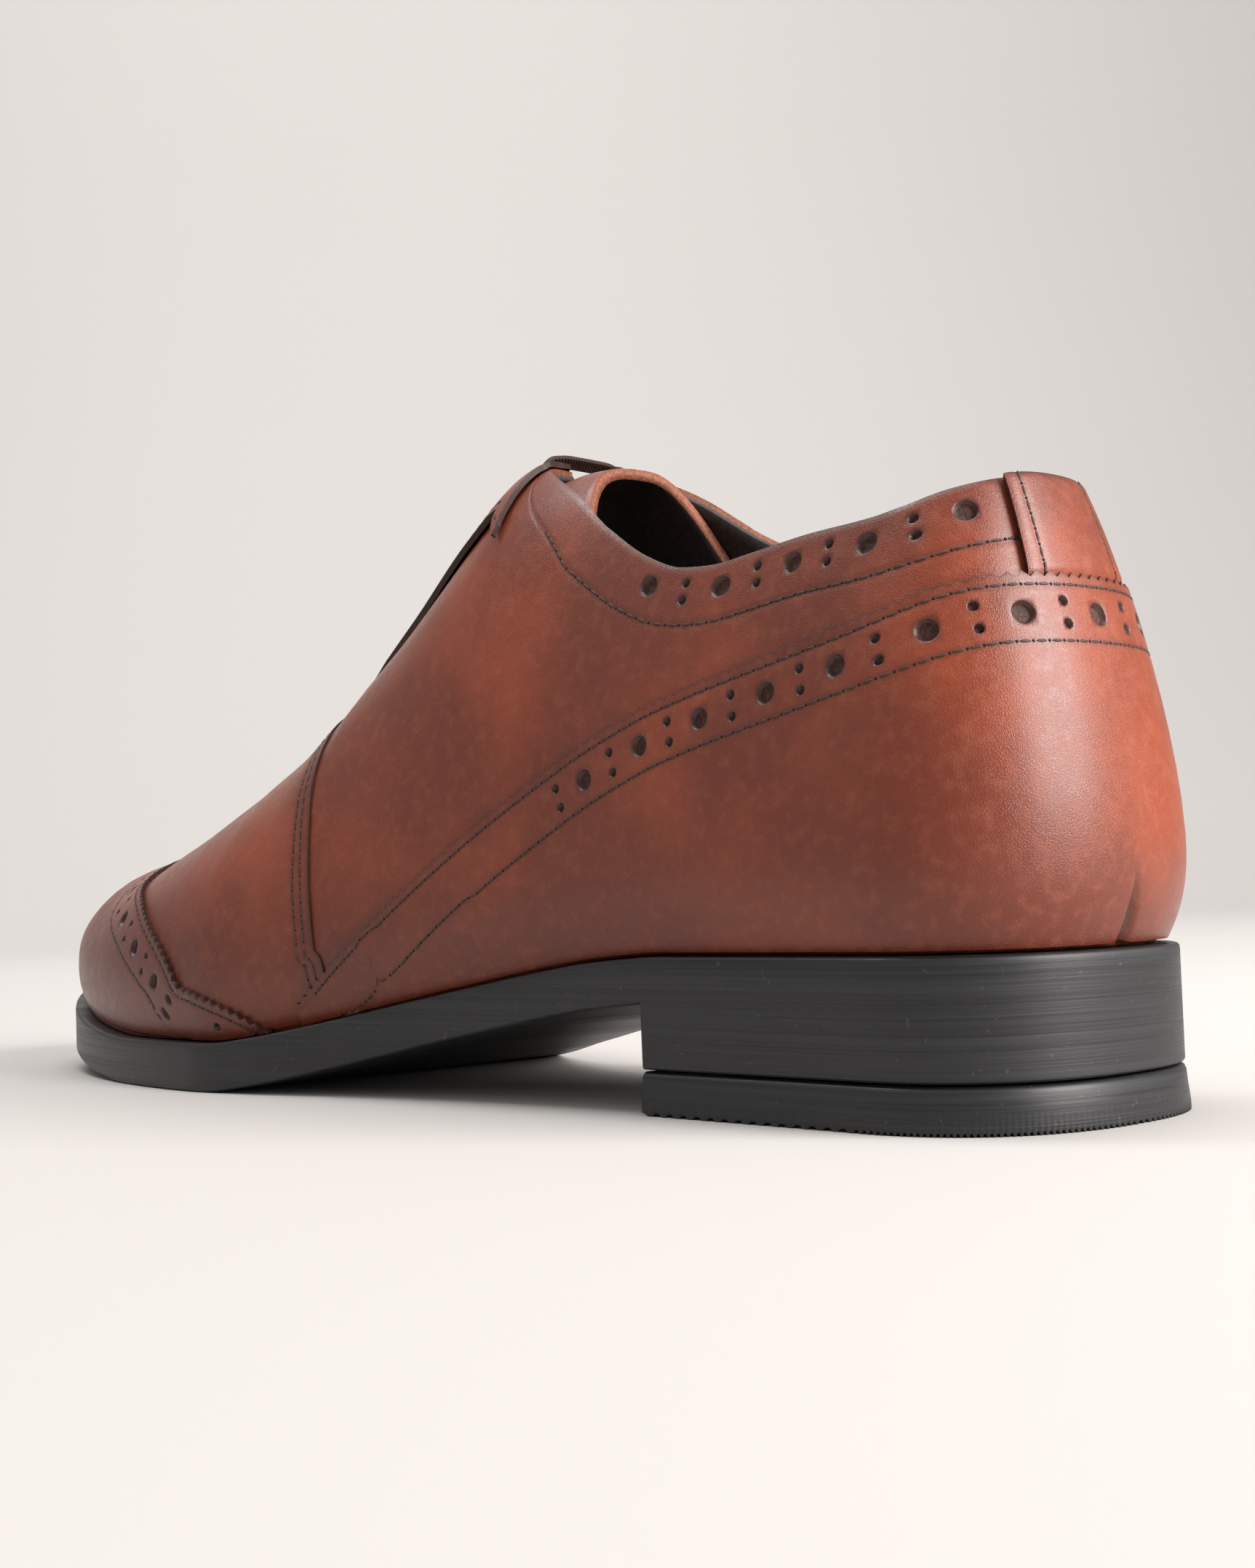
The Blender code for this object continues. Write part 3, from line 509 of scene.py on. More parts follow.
def punch(piece, faces, holes, cell, ink_and_shade):
    """Turns blocks of a flat grid into round pits with a soft lip."""
    owner = {}
    blocks = []
    for hole in holes:
        i, j, radius, reach = hole
        cells = [(i + a, j + b) for a in range(-reach, reach) for b in range(-reach, reach)]
        if all(c in faces for c in cells):
            owner.update({c: hole for c in cells})
            blocks += [faces[c] for c in cells]
    rings = []
    for _ in range(2):
        rings += bmesh.ops.inset_region(
            piece, faces=blocks, thickness=INSET, depth=0.0, use_boundary=True,
            use_even_offset=True,
        )["faces"]
    spots = {}
    for face in blocks + rings:
        middle = face.calc_center_median()
        hole = owner[(math.floor(middle.x), math.floor(middle.y))]
        spots.update({v: hole for v in face.verts})
    for v, (i, j, radius, reach) in spots.items():
        a, b = v.co.x - i, v.co.y - j
        far = max(abs(a), abs(b))
        ring = min(round((reach - far) / INSET), 3)
        extra, share, depth, dark = PIT[ring]
        scale = 1 / far if ring < 3 else 1 / reach
        x, y = square_to_disc(a * scale, b * scale)
        size = (radius * share + extra) / cell
        v.co = Vector((i + x * size, j + y * size, -depth))
        # The lip and the wall take painted shade of the hole.
        v[ink_and_shade] = dark
    for face in blocks:
        face.material_index = 1


def flat_piece(columns, rows, holes=(), teeth=None, cell=CELL, edged=True):
    """Flat grid of leather in cells, punched, and pinked along its edge at row 0."""
    piece = bmesh.new()
    bmesh.ops.create_grid(piece, x_segments=columns, y_segments=rows, size=0.5)
    bmesh.ops.scale(piece, vec=(columns, rows, 1), verts=piece.verts)
    bmesh.ops.translate(piece, vec=(columns / 2, rows / 2, 0), verts=piece.verts)
    middle = {f: f.calc_center_median() for f in piece.faces}
    faces = {(math.floor(c.x), math.floor(c.y)): f for f, c in middle.items()}
    ink_and_shade = piece.verts.layers.float.new("ink_and_shade")
    for v in piece.verts:
        # Dark band along the edge at row 0: partly real edge ink, partly painted shadow of the gap
        # under the edge.
        v[ink_and_shade] = 0.9 * math.exp(-v.co.y * cell / EDGE_INK_AND_SHADOW) if edged else 0.0
    if teeth:
        depth = teeth / cell
        for v in piece.verts:
            if v.co.y < 4.5:
                wave = abs((v.co.x / TOOTH_CELLS) % 1 - 0.5) * 2
                v.co.y += depth * wave * math.exp(-v.co.y / 1.6)
    if holes:
        punch(piece, faces, holes, cell, ink_and_shade)
    return piece


def shade_like_the_last(mesh):
    """Smooth leather takes its shading from the last; holes, seams and edges keep their own."""
    wanted = np.zeros(len(mesh.vertices) * 3)
    mesh.attributes["facing"].data.foreach_get("vector", wanted)
    corners = np.zeros(len(mesh.loops), dtype=int)
    mesh.loops.foreach_get("vertex_index", corners)
    normals = wanted.reshape(-1, 3)[corners]
    for face in mesh.polygons:
        if face.material_index:
            normals[face.loop_start:face.loop_start + face.loop_total] = 0
    mesh.normals_split_custom_set(normals.tolist())
    mesh.attributes.remove(mesh.attributes["facing"])


def finish_mesh(name, piece, materials, smooth=True):
    """Turns a bmesh into a piece of the shoe."""
    mesh = bpy.data.meshes.new(name)
    piece.to_mesh(mesh)
    piece.free()
    made = bpy.data.objects.new(name, mesh)
    bpy.context.collection.objects.link(made)
    for material in materials:
        mesh.materials.append(material)
    if smooth:
        mesh.shade_smooth()
    if "facing" in mesh.attributes:
        shade_like_the_last(mesh)
    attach(made, "root")
    return made


def wrap(piece, laid, grooves=(), edge_drop=0.00012):
    """Lays a flat punched piece on the last, with a shallow groove under each seam."""
    facing = piece.verts.layers.float_vector.new("facing")
    verts = list(piece.verts)
    flat = np.array([v.co for v in verts])
    i, j, depth = flat[:, 0], flat[:, 1], flat[:, 2]
    ink_and_shade = piece.verts.layers.float["ink_and_shade"]
    for row in grooves:
        off = (j - row) * CELL
        depth = depth - GROOVE_DEPTH * np.exp(-((off / GROOVE_WIDTH) ** 2))
        # Painted shade along the groove under the seam.
        for v, dark in zip(verts, 0.45 * np.exp(-((off / SEAM_SHADE) ** 2))):
            v[ink_and_shade] = max(v[ink_and_shade], dark)
    depth = depth - edge_drop * np.exp(-((j / 0.7) ** 2))
    spots, normals = laid.points(i, j, depth)
    for v, spot, normal in zip(verts, spots, normals):
        v.co = spot
        v[facing] = normal if v[ink_and_shade] < LAST_SHADED_BELOW else (0, 0, 0)
    bmesh.ops.remove_doubles(piece, verts=piece.verts, dist=1e-6)
    bmesh.ops.dissolve_degenerate(piece, edges=piece.edges, dist=1e-6)
    return piece


def face_out(piece, inside=Vector((0.08, 0.0, 0.045))):
    """Points a sheet's faces away from the shoe's middle. They all turn together."""
    piece.normal_update()
    vote = sum(
        f.normal.dot(f.calc_center_median() - inside) * f.calc_area() for f in piece.faces
    )
    if vote < 0:
        bmesh.ops.reverse_faces(piece, faces=piece.faces)


def add_rim(piece, thickness, material=2):
    """Gives a sheet its cut edge: a strip turned in all round it."""
    piece.normal_update()
    edges = [e for e in piece.edges if e.is_boundary]
    normals = {tuple(v.co): v.normal.copy() for e in edges for v in e.verts}
    turned = bmesh.ops.extrude_edge_only(piece, edges=edges)["geom"]
    for v in (g for g in turned if isinstance(g, bmesh.types.BMVert)):
        v.co -= normals[tuple(v.co)] * thickness
    for face in (g for g in turned if isinstance(g, bmesh.types.BMFace)):
        face.material_index = material
    for edge in edges:
        edge.smooth = False


def thicken(made, thickness, edge=0, back=0):
    """Gives a finished sheet its thickness, inwards. The edge and the back may have other
    materials of the piece's list."""
    wall = made.modifiers.new("thickness", "SOLIDIFY")
    wall.thickness = thickness
    wall.offset = -1.0
    wall.material_offset_rim = edge
    wall.material_offset = back


def join_parts(parts):
    """One sheet from parts that meet on the ridge."""
    joined = bmesh.new()
    for part in parts:
        mesh = bpy.data.meshes.new("part")
        part.to_mesh(mesh)
        part.free()
        joined.from_mesh(mesh)
        bpy.data.meshes.remove(mesh)
    bmesh.ops.remove_doubles(joined, verts=joined.verts, dist=2e-5)
    return joined


def holes_in_row(first, last, pitch, row, skip=0.0):
    """A big hole at every pitch and a pair of small ones between, in cells from the centre."""
    made = []
    cells = pitch / CELL
    count = int(max(abs(first), abs(last)) / cells) + 1
    for side in (1, -1):
        for k in range(count):
            big = side * (skip / CELL + k * cells)
            small = big + side * cells / 2
            if first < big < last and not (k == 0 and skip == 0 and side < 0):
                made.append((round(big), row, BIG_HOLE, 3))
            if first < small < last:
                for step in (-1, 1):
                    lean = round(0.4 * step * side)
                    off = round(step * SMALL_HOLE_SPREAD / CELL)
                    made.append((round(small) + lean, row + off, SMALL_HOLE, 1))
    return made


def clear_of_sole(laid, holes):
    """The holes whose whole width lies above the sole."""
    kept = []
    for hole in holes:
        i, j, _, reach = hole
        low = laid.read(laid.level, [float(i)], [j + reach + 2.0])[0]
        high = laid.read(laid.level, [float(i + reach + 1)], [float(j + reach)])[0]
        if low > SEWN_FROM and high < SEWN_TO:
            kept.append(hole)
    return kept


def shifted(holes, start):
    return [(i + start, j, radius, reach) for i, j, radius, reach in holes]


def stitch_row(threads, laid, row, first, last, pitch=STITCH_PITCH):
    """Adds the stitches of one seam, and the needle holes between them, to two lists."""
    cells = pitch / CELL
    count = int((last - first) / cells)
    i = first + cells * (np.arange(count) + 0.5)
    j = np.full(count, float(row))
    height = laid.read(laid.level, i, j)
    kept = (height > SEWN_FROM) & (height < SEWN_TO)
    i, j = i[kept], j[kept]
    for places, kind in ((i, "thread"), (i + cells / 2, "needle")):
        here, along, normal = laid.frames(places, j, -GROOVE_DEPTH)
        for point, x, z in zip(here, along, normal):
            threads[kind].append((point, x, z))


def set_matrix(point, x, z):
    """Place of a small shape: its length along x and its top towards z."""
    x, z = Vector(x), Vector(z)
    y = z.cross(x).normalized()
    z = x.cross(y).normalized()
    turned = Matrix((x, y, z)).transposed().to_4x4()
    turned.translation = Vector(point)
    return turned


def small_shape(make, matrix, **settings):
    """Mesh of one stitch or needle hole, to be set many times over."""
    piece = bmesh.new()
    make(piece, matrix=matrix, **settings)
    mesh = bpy.data.meshes.new("small_shape")
    piece.to_mesh(mesh)
    piece.free()
    return mesh


def sew(name, threads, thread, needle):
    """All stitches of some seams as one piece: each a short rounded run of thread."""
    piece = bmesh.new()
    run = Matrix.Diagonal((STITCH_LENGTH / 2, THREAD, THREAD * 0.75, 1))
    run = run @ Matrix.Rotation(math.pi / 2, 4, "Y")
    # A needle hole is a flat near-black dot: painted shade of the hole.
    pit = Matrix.Diagonal((0.00036, 0.00034, 0.00012, 1))
    shapes = {
        "thread": small_shape(bmesh.ops.create_uvsphere, run, u_segments=6, v_segments=6, radius=1),
        "needle": small_shape(bmesh.ops.create_icosphere, pit, subdivisions=1, radius=1),
    }
    pits = 0
    for kind, shape in shapes.items():
        pits = len(piece.faces)
        for place in threads[kind]:
            turned = set_matrix(*place)
            shape.transform(turned)
            piece.from_mesh(shape)
            shape.transform(turned.inverted())
        bpy.data.meshes.remove(shape)
    piece.faces.ensure_lookup_table()
    for face in piece.faces[pits:]:
        face.material_index = 1
    return finish_mesh(name, piece, [thread, needle])


# Materials


def nodes_of(name):
    material = bpy.data.materials.new(name)
    material.use_nodes = True
    tree = material.node_tree
    return material, tree, tree.nodes["Principled BSDF"]


def add(tree, kind, inputs=(), **settings):
    node = tree.nodes.new(kind)
    for key, value in settings.items():
        setattr(node, key, value)
    for key, value in dict(inputs).items():
        if isinstance(value, bpy.types.NodeSocket):
            tree.links.new(value, node.inputs[key])
        else:
            node.inputs[key].default_value = value
    return node


def mixed(tree, factor, first, second, blend="MIX"):
    node = add(tree, "ShaderNodeMix", data_type="RGBA", blend_type=blend)
    for index, value in ((0, factor), (6, first), (7, second)):
        if isinstance(value, bpy.types.NodeSocket):
            tree.links.new(value, node.inputs[index])
        else:
            node.inputs[index].default_value = value
    return node.outputs[2]


def maths(tree, operation, first, second=0.0, third=0.0, clamp=False):
    node = add(tree, "ShaderNodeMath", operation=operation, use_clamp=clamp)
    for index, value in enumerate((first, second, third)):
        if isinstance(value, bpy.types.NodeSocket):
            tree.links.new(value, node.inputs[index])
        else:
            node.inputs[index].default_value = value
    return node.outputs[0]


def ramped(tree, value, low, high, to_low=0.0, to_high=1.0):
    node = add(
        tree, "ShaderNodeMapRange", {0: value, 1: low, 2: high, 3: to_low, 4: to_high},
        interpolation_type="SMOOTHSTEP",
    )
    return node.outputs[0]


def grain_group():
    """Fine pebble of polished calf leather: height for a bump, and two soft tone masks."""
    group = bpy.data.node_groups.new("leather_grain", "ShaderNodeTree")
    for name, kind in (("Vector", "NodeSocketVector"), ("Pebble", "NodeSocketFloat")):
        group.interface.new_socket(name=name, in_out="INPUT", socket_type=kind)
    for name in ("Height", "Mottle", "Cloud"):
        group.interface.new_socket(name=name, in_out="OUTPUT", socket_type="NodeSocketFloat")
    start = group.nodes.new("NodeGroupInput")
    end = group.nodes.new("NodeGroupOutput")
    where = start.outputs["Vector"]
    warp = add(group, "ShaderNodeTexNoise", {"Vector": where, "Scale": 260.0, "Detail": 2.0})
    bent = add(
        group, "ShaderNodeVectorMath",
        {0: warp.outputs["Color"], 1: (0.0012, 0.0012, 0.0012), 2: where},
        operation="MULTIPLY_ADD",
    )
    cells = add(
        group, "ShaderNodeTexVoronoi",
        {"Vector": bent.outputs[0], "Scale": start.outputs["Pebble"], "Randomness": 1.0},
        feature="DISTANCE_TO_EDGE",
    )
    pebble = ramped(group, cells.outputs["Distance"], 0.0, 0.28)
    fine = add(group, "ShaderNodeTexNoise", {"Vector": where, "Scale": 2600.0, "Detail": 3.0})
    low = maths(group, "MULTIPLY", fine.outputs[0], 0.35)
    height = maths(group, "MULTIPLY_ADD", pebble, 0.75, low)
    mottle = add(group, "ShaderNodeTexNoise", {"Vector": where, "Scale": 420.0, "Detail": 4.0})
    cloud = add(
        group, "ShaderNodeTexNoise",
        {"Vector": where, "Scale": 26.0, "Detail": 3.0, "Roughness": 0.55},
    )
    group.links.new(height, end.inputs["Height"])
    group.links.new(mottle.outputs[0], end.inputs["Mottle"])
    group.links.new(cloud.outputs[0], end.inputs["Cloud"])
    return group


def calf_leather(name, group, colour, deep, pale, roughness, pebble, bump):
    """Calf leather: darker towards the sole and in the clouds, paler where it is rubbed, near black
    where the mesh carries edge ink and painted shade.
    """
    material, tree, shader = nodes_of(name)
    where = add(tree, "ShaderNodeTexCoord").outputs["Object"]
    grain = add(tree, "ShaderNodeGroup", node_tree=group)
    tree.links.new(where, grain.inputs["Vector"])
    grain.inputs["Pebble"].default_value = pebble
    parts = add(tree, "ShaderNodeSeparateXYZ", {0: where})
    cloud = ramped(tree, grain.outputs["Cloud"], 0.38, 0.66)
    tone = mixed(tree, cloud, (*deep, 1), (*colour, 1))
    # Darker towards the sole, by height.
    toward_sole = ramped(tree, parts.outputs["Z"], 0.024, 0.046, 0.55, 0.0)
    tone = mixed(tree, toward_sole, tone, (*[c * 0.55 for c in deep], 1))
    rubbed = maths(tree, "MULTIPLY", ramped(tree, grain.outputs["Mottle"], 0.45, 0.75), 0.22)
    tone = mixed(tree, rubbed, tone, (*pale, 1))
    # Near black where the mesh marks it: edge ink along cut edges, painted shade there and at hole
    # lips and walls, seam grooves and the dart's crease.
    ink_and_shade = add(tree, "ShaderNodeAttribute", attribute_name="ink_and_shade").outputs["Fac"]
    dyed = maths(tree, "MULTIPLY", ink_and_shade, 0.85, clamp=True)
    tone = mixed(tree, dyed, tone, (0.022, 0.008, 0.006, 1))
    crevice = ramped(tree, grain.outputs["Height"], 0.18, 0.55, 0.25, 0.0)
    tone = mixed(tree, crevice, tone, (*[c * 0.45 for c in deep], 1))
    tree.links.new(tone, shader.inputs["Base Color"])
    gloss = ramped(tree, grain.outputs["Mottle"], 0.3, 0.7, roughness - 0.05, roughness + 0.08)
    tree.links.new(gloss, shader.inputs["Roughness"])
    shader.inputs["Specular IOR Level"].default_value = 0.42
    shader.inputs["Coat Weight"].default_value = 0.25
    shader.inputs["Coat Roughness"].default_value = 0.28
    relief = add(tree, "ShaderNodeBump", {"Height": grain.outputs["Height"], "Distance": bump})
    tree.links.new(relief.outputs[0], shader.inputs["Normal"])
    return material


def plain_fibre(name, colour, dark, roughness, scale, bump):
    """Rough fibrous stuff: cut edges, punched pits, lining, thread."""
    material, tree, shader = nodes_of(name)
    where = add(tree, "ShaderNodeTexCoord").outputs["Object"]
    noise = add(tree, "ShaderNodeTexNoise", {"Vector": where, "Scale": scale, "Detail": 5.0})
    tone = mixed(tree, ramped(tree, noise.outputs[0], 0.35, 0.65), (*dark, 1), (*colour, 1))
    tree.links.new(tone, shader.inputs["Base Color"])
    shader.inputs["Roughness"].default_value = roughness
    relief = add(tree, "ShaderNodeBump", {"Height": noise.outputs[0], "Distance": bump})
    tree.links.new(relief.outputs[0], shader.inputs["Normal"])
    return material


def sole_rubber(name):
    """Black sole edge, brushed lengthwise: fine level scratches that catch the light."""
    material, tree, shader = nodes_of(name)
    where = add(tree, "ShaderNodeTexCoord").outputs["Object"]
    stretched = add(tree, "ShaderNodeMapping", {"Vector": where, "Scale": (14.0, 14.0, 2600.0)})
    lines = add(
        tree, "ShaderNodeTexNoise", {"Vector": stretched.outputs[0], "Scale": 1.0, "Detail": 4.0}
    )
    broad = add(tree, "ShaderNodeMapping", {"Vector": where, "Scale": (8.0, 8.0, 620.0)})
    bands = add(
        tree, "ShaderNodeTexNoise", {"Vector": broad.outputs[0], "Scale": 1.0, "Detail": 3.0}
    )
    fine = maths(tree, "MULTIPLY", lines.outputs[0], 0.6)
    both = maths(tree, "MULTIPLY_ADD", bands.outputs[0], 0.6, fine)
    streak = ramped(tree, both, 0.42, 0.80)
    tone = mixed(tree, streak, (0.006, 0.006, 0.0065, 1), (0.022, 0.022, 0.024, 1))
    dust = add(tree, "ShaderNodeTexNoise", {"Vector": where, "Scale": 900.0, "Detail": 2.0})
    specks = maths(tree, "MULTIPLY", ramped(tree, dust.outputs[0], 0.68, 0.76), 0.35)
    tone = mixed(tree, specks, tone, (0.10, 0.10, 0.10, 1))
    tree.links.new(tone, shader.inputs["Base Color"])
    tree.links.new(ramped(tree, both, 0.4, 0.8, 0.36, 0.52), shader.inputs["Roughness"])
    relief = add(tree, "ShaderNodeBump", {"Height": both, "Distance": 0.00010, "Strength": 0.8})
    tree.links.new(relief.outputs[0], shader.inputs["Normal"])
    return material


def woven_lace(name):
    """Waxed flat cotton: fine herringbone across the ribbon."""
    material, tree, shader = nodes_of(name)
    where = add(tree, "ShaderNodeTexCoord").outputs["Object"]
    wave = add(
        tree, "ShaderNodeTexWave", {"Vector": where, "Scale": 900.0, "Distortion": 0.6},
        bands_direction="DIAGONAL",
    )
    tone = mixed(tree, wave.outputs["Fac"], (0.018, 0.008, 0.005, 1), (0.060, 0.024, 0.014, 1))
    tree.links.new(tone, shader.inputs["Base Color"])
    shader.inputs["Roughness"].default_value = 0.7
    relief = add(tree, "ShaderNodeBump", {"Height": wave.outputs["Fac"], "Distance": 0.00012})
    tree.links.new(relief.outputs[0], shader.inputs["Normal"])
    return material


def studio_paper(name, colour):
    material, tree, shader = nodes_of(name)
    where = add(tree, "ShaderNodeTexCoord").outputs["Object"]
    noise = add(tree, "ShaderNodeTexNoise", {"Vector": where, "Scale": 1.5, "Detail": 2.0})
    tone = mixed(tree, noise.outputs[0], (*[c * 0.97 for c in colour], 1), (*colour, 1))
    tree.links.new(tone, shader.inputs["Base Color"])
    shader.inputs["Roughness"].default_value = 0.85
    return material


def make_materials():
    """The materials by name. A fibre has its colour, its dark, roughness, scale and relief."""
    fibres = {
        # Punched pit floor: darker than the leather, partly the raw fibre's own colour, partly painted
        # shade at the bottom of the hole
        "punched": ("punched_pit", (0.085, 0.024, 0.013), (0.028, 0.009, 0.006), 0.70, 1800, 0.0002),
        "cut": ("cut_edge", (0.300, 0.095, 0.045), (0.170, 0.050, 0.024), 0.65, 1500, 0.00012),
        "dyed": ("dyed_edge", (0.045, 0.014, 0.009), (0.022, 0.008, 0.006), 0.60, 1500, 0.0001),
        "lining": ("lining_leather", (0.060, 0.042, 0.038), (0.038, 0.026, 0.024), 0.62, 900, 0.00006),
        "sock": ("sock_leather", (0.080, 0.052, 0.042), (0.052, 0.034, 0.028), 0.55, 700, 0.00006),
        "thread": ("waxed_thread", (0.070, 0.024, 0.014), (0.026, 0.010, 0.007), 0.55, 3000, 0.00008),
        # Needle holes: near-black dots, painted shade of the holes between stitches
        "needle": ("needle_hole", (0.016, 0.007, 0.005), (0.006, 0.003, 0.002), 0.9, 2000, 0.0001),
    }
    mats = {
        "calf": calf_leather(
            "calf_leather", grain_group(), colour=(0.300, 0.052, 0.015),
            deep=(0.175, 0.028, 0.009), pale=(0.420, 0.110, 0.050),
            roughness=0.40, pebble=2300.0, bump=0.00003,
        ),
    }
    for key, settings in fibres.items():
        mats[key] = plain_fibre(*settings)
    mats["rubber"] = sole_rubber("sole_rubber_brushed")
    mats["lace"] = woven_lace("lace_cotton_woven")
    return mats


# Pieces


def leather(mats, edge="dyed"):
    """Materials of a piece of leather: its face, its punched pits, its edge and its back."""
    return [mats["calf"], mats["punched"], mats[edge], mats["lining"]]


def down_the_ribs(a, b, rows, foot):
    """Rows added below marched ones, straight down to a level."""
    last = b[:, -1]
    falls = [(last + (foot - last) * (k / rows))[:, None] for k in range(1, rows + 1)]
    a = np.concatenate([a] + [a[:, -1:]] * rows, axis=1)
    return a, np.maximum(np.concatenate([b] + falls, axis=1), foot)


def make_counter(mats, threads):
    """Heel counter: pinked and punched along its top, with a dart at the heel's back."""
    steps = np.linspace(0, LAST, 900)
    foot_x = COUNTER_EDGE[-1][0] * SHOE_LENGTH
    end = {side: np.interp(foot_x, outline(side, steps)[0], steps) for side in (1, -1)}
    w = np.linspace(-end[-1], end[1], 1400)
    w, level, centre = along_edge(w, signed(lambda s, p: edge_level(COUNTER_EDGE, s, p), w), CELL)
    band, rest = BAND_ROWS, 26
    a, b = march(w, level, [CELL] * band, held=45, floor=FOOT_LEVEL)
    a, b = down_the_ribs(a, b, rest, FOOT_LEVEL)
    laid = Laid(a, b, COUNTER_LIFT)
    reach = int(PUNCHED_REACH / CELL)
    row = round(PINKED_HOLES_IN / CELL)
    holes = shifted(holes_in_row(-reach, reach, PINKED_PITCH, row), centre)
    piece = flat_piece(len(w) - 1, band + rest, clear_of_sole(laid, holes), TOOTH_DEPTH)
    low_rows = np.arange(band, band + rest + 1.0)
    rib = laid.points(np.full(len(low_rows), float(centre)), low_rows, 0.0)[0]
    climb = np.cumsum(np.linalg.norm(np.diff(rib[::-1], axis=0), axis=1))
    dart_top = band + rest - np.interp(DART_HEIGHT, climb, np.arange(1.0, len(climb) + 1))
    ink_and_shade = piece.verts.layers.float["ink_and_shade"]
    for v in piece.verts:
        sunk = (v.co.y - dart_top) / (band + rest - dart_top)
        if sunk > 0:
            near = math.exp(-(((v.co.x - centre) / (0.7 + DART_SPREAD * sunk)) ** 2))
            v.co.z -= DART_DEPTH * near * min(sunk * 1.6, 1.0)
            # Painted shade in the dart's crease.
            v[ink_and_shade] = max(v[ink_and_shade], near**2 * min(sunk * 2.2, 1.0))
    wrap(piece, laid, PINKED_SEAMS)
    face_out(piece)
    add_rim(piece, OVERLAY)
    made = finish_mesh("heel_counter_leather", piece, leather(mats))
    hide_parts("heel_counter")
    for seam in PINKED_SEAMS:
        stitch_row(threads, laid, seam, 8, len(w) - 9)


def make_quarters(mats, threads):
    """Quarters: the shell behind the vamp, punched and sewn under its topline."""
    corner = float(position_at(0.395))
    w = np.linspace(-corner, corner, 1500)
    cell = QUARTER_CELL
    w, level, centre = along_edge(w, signed(top_level, w), cell)
    a, b = march(w, level, [cell] * 26, held=45)
    a, b = down_the_ribs(a, b, 22, 0.0)
    front = float(position_at(0.66))
    for side in (1, -1):
        seam = -1 if side > 0 else 0
        shares = b[seam] / b[seam, 0]
        steps = np.linspace(abs(w[seam]), front, 60)[1:]
        top = top_level(side, steps)
        more_a = np.repeat((side * steps)[:, None], a.shape[1], axis=1)
        more_b = top[:, None] * shares[None, :]
        if side > 0:
            a, b = np.vstack([a, more_a]), np.vstack([b, more_b])
        else:
            a, b = np.vstack([more_a[::-1], a]), np.vstack([more_b[::-1], b])
            centre += len(steps)
    laid = Laid(a, b, 0.0)
    row = round(TOPLINE_HOLES_IN / cell)
    reach = int(TOPLINE_REACH / CELL)
    scale = CELL / cell
    holes = [
        (centre + round(i * scale), row + round(j * scale), radius, 2 if block == 3 else 1)
        for i, j, radius, block in holes_in_row(-reach, reach, TOPLINE_PITCH, 0, skip=0.0172)
    ]
    piece = flat_piece(a.shape[0] - 1, a.shape[1] - 1, holes, cell=cell)
    seam = TOPLINE_SEAM_IN / cell
    wrap(piece, laid, (seam,), edge_drop=0.00025)
    face_out(piece)
    add_rim(piece, QUARTER_THICKNESS)
    made = finish_mesh("quarters_leather", piece, leather(mats, "cut"))
    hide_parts("upper")
    reach = int(PUNCHED_REACH / cell)
    stitch_row(threads, laid, seam, centre - reach, centre + reach, STITCH_PITCH * scale)
    return laid, centre


def make_lining(mats):
    """Lining: the shell inside the quarters and the vamp, down to the insole."""
    parts = []
    rows = 39
    for side in (1, -1):
        p = np.concatenate([np.linspace(0, 7, 24)[:-1], np.linspace(7, LAST, 110)])
        top = top_level(side, p) - 0.004
        a = np.repeat((side * np.maximum(p, 1e-6))[:, None], rows + 1, axis=1)
        b = top[:, None] * np.linspace(0, 1, rows + 1)[None, ::-1]
        part = flat_piece(len(p) - 1, rows)
        wrap(part, Laid(a, b, -QUARTER_THICKNESS - 0.00005), edge_drop=0.0)
        face_out(part)
        parts.append(part)
    made = finish_mesh("lining", join_parts(parts), [mats["lining"]])
    thicken(made, WALL - QUARTER_THICKNESS)


def front_chart(rows, cell, band, rest):
    """Places of a piece over the front of the last, from its rear edge to the toe's tip, on
    the outer side. The inner side has the same ones, so that the two meet on the ridge."""
    level = np.linspace(FOOT_LEVEL, 2, 900)
    w = position_at(table_value(rows, level, 1))
    w, level, _ = along_edge(w, level, cell, centre=False)
    w, level = np.append(w, w[-1]), np.append(level, 2.0)
    a, b = march(w, level, [cell] * band, held=1, floor=FOOT_LEVEL, up_the_side=True)
    tip_rib = last_point(1, np.full(len(RIB), LAST), RIB)
    run = np.concatenate([[0], np.cumsum(np.linalg.norm(np.diff(tip_rib, axis=0), axis=1))])
    marks = np.linspace(np.interp(FOOT_LEVEL, RIB, run), run[-1], len(w))
    tip = np.interp(marks, run, RIB)
    steps = np.linspace(0, 1, rest + 1)[None, 1:]
    ahead = a[:, -1:] + (LAST - a[:, -1:]) * steps
    across = b[:, -1:] + (tip[:, None] - b[:, -1:]) * steps**1.5
    return np.hstack([a, ahead]), np.maximum(np.hstack([b, across]), FOOT_LEVEL)


def front_piece(name, rows, cell, counts, lift, thickness, seams, mats, threads, **punching):
    """Leather over the front of the last, from a rear edge to the toe: vamp and wing cap."""
    a, b = front_chart(rows, cell, *counts)
    columns = a.shape[0] - 1
    parts = []
    for side in (1, -1):
        laid = Laid(side * a, b, lift)
        holes = clear_of_sole(laid, punching["holes"](columns)) if punching else ()
        part = flat_piece(columns, sum(counts), holes, punching.get("teeth"), cell)
        wrap(part, laid, seams)
        face_out(part)
        parts.append(part)
        for seam in seams:
            stitch_row(threads, laid, seam, 3, columns - 1, STITCH_PITCH * CELL / cell)
    joined = join_parts(parts)
    add_rim(joined, thickness)
    return finish_mesh(name, joined, leather(mats))


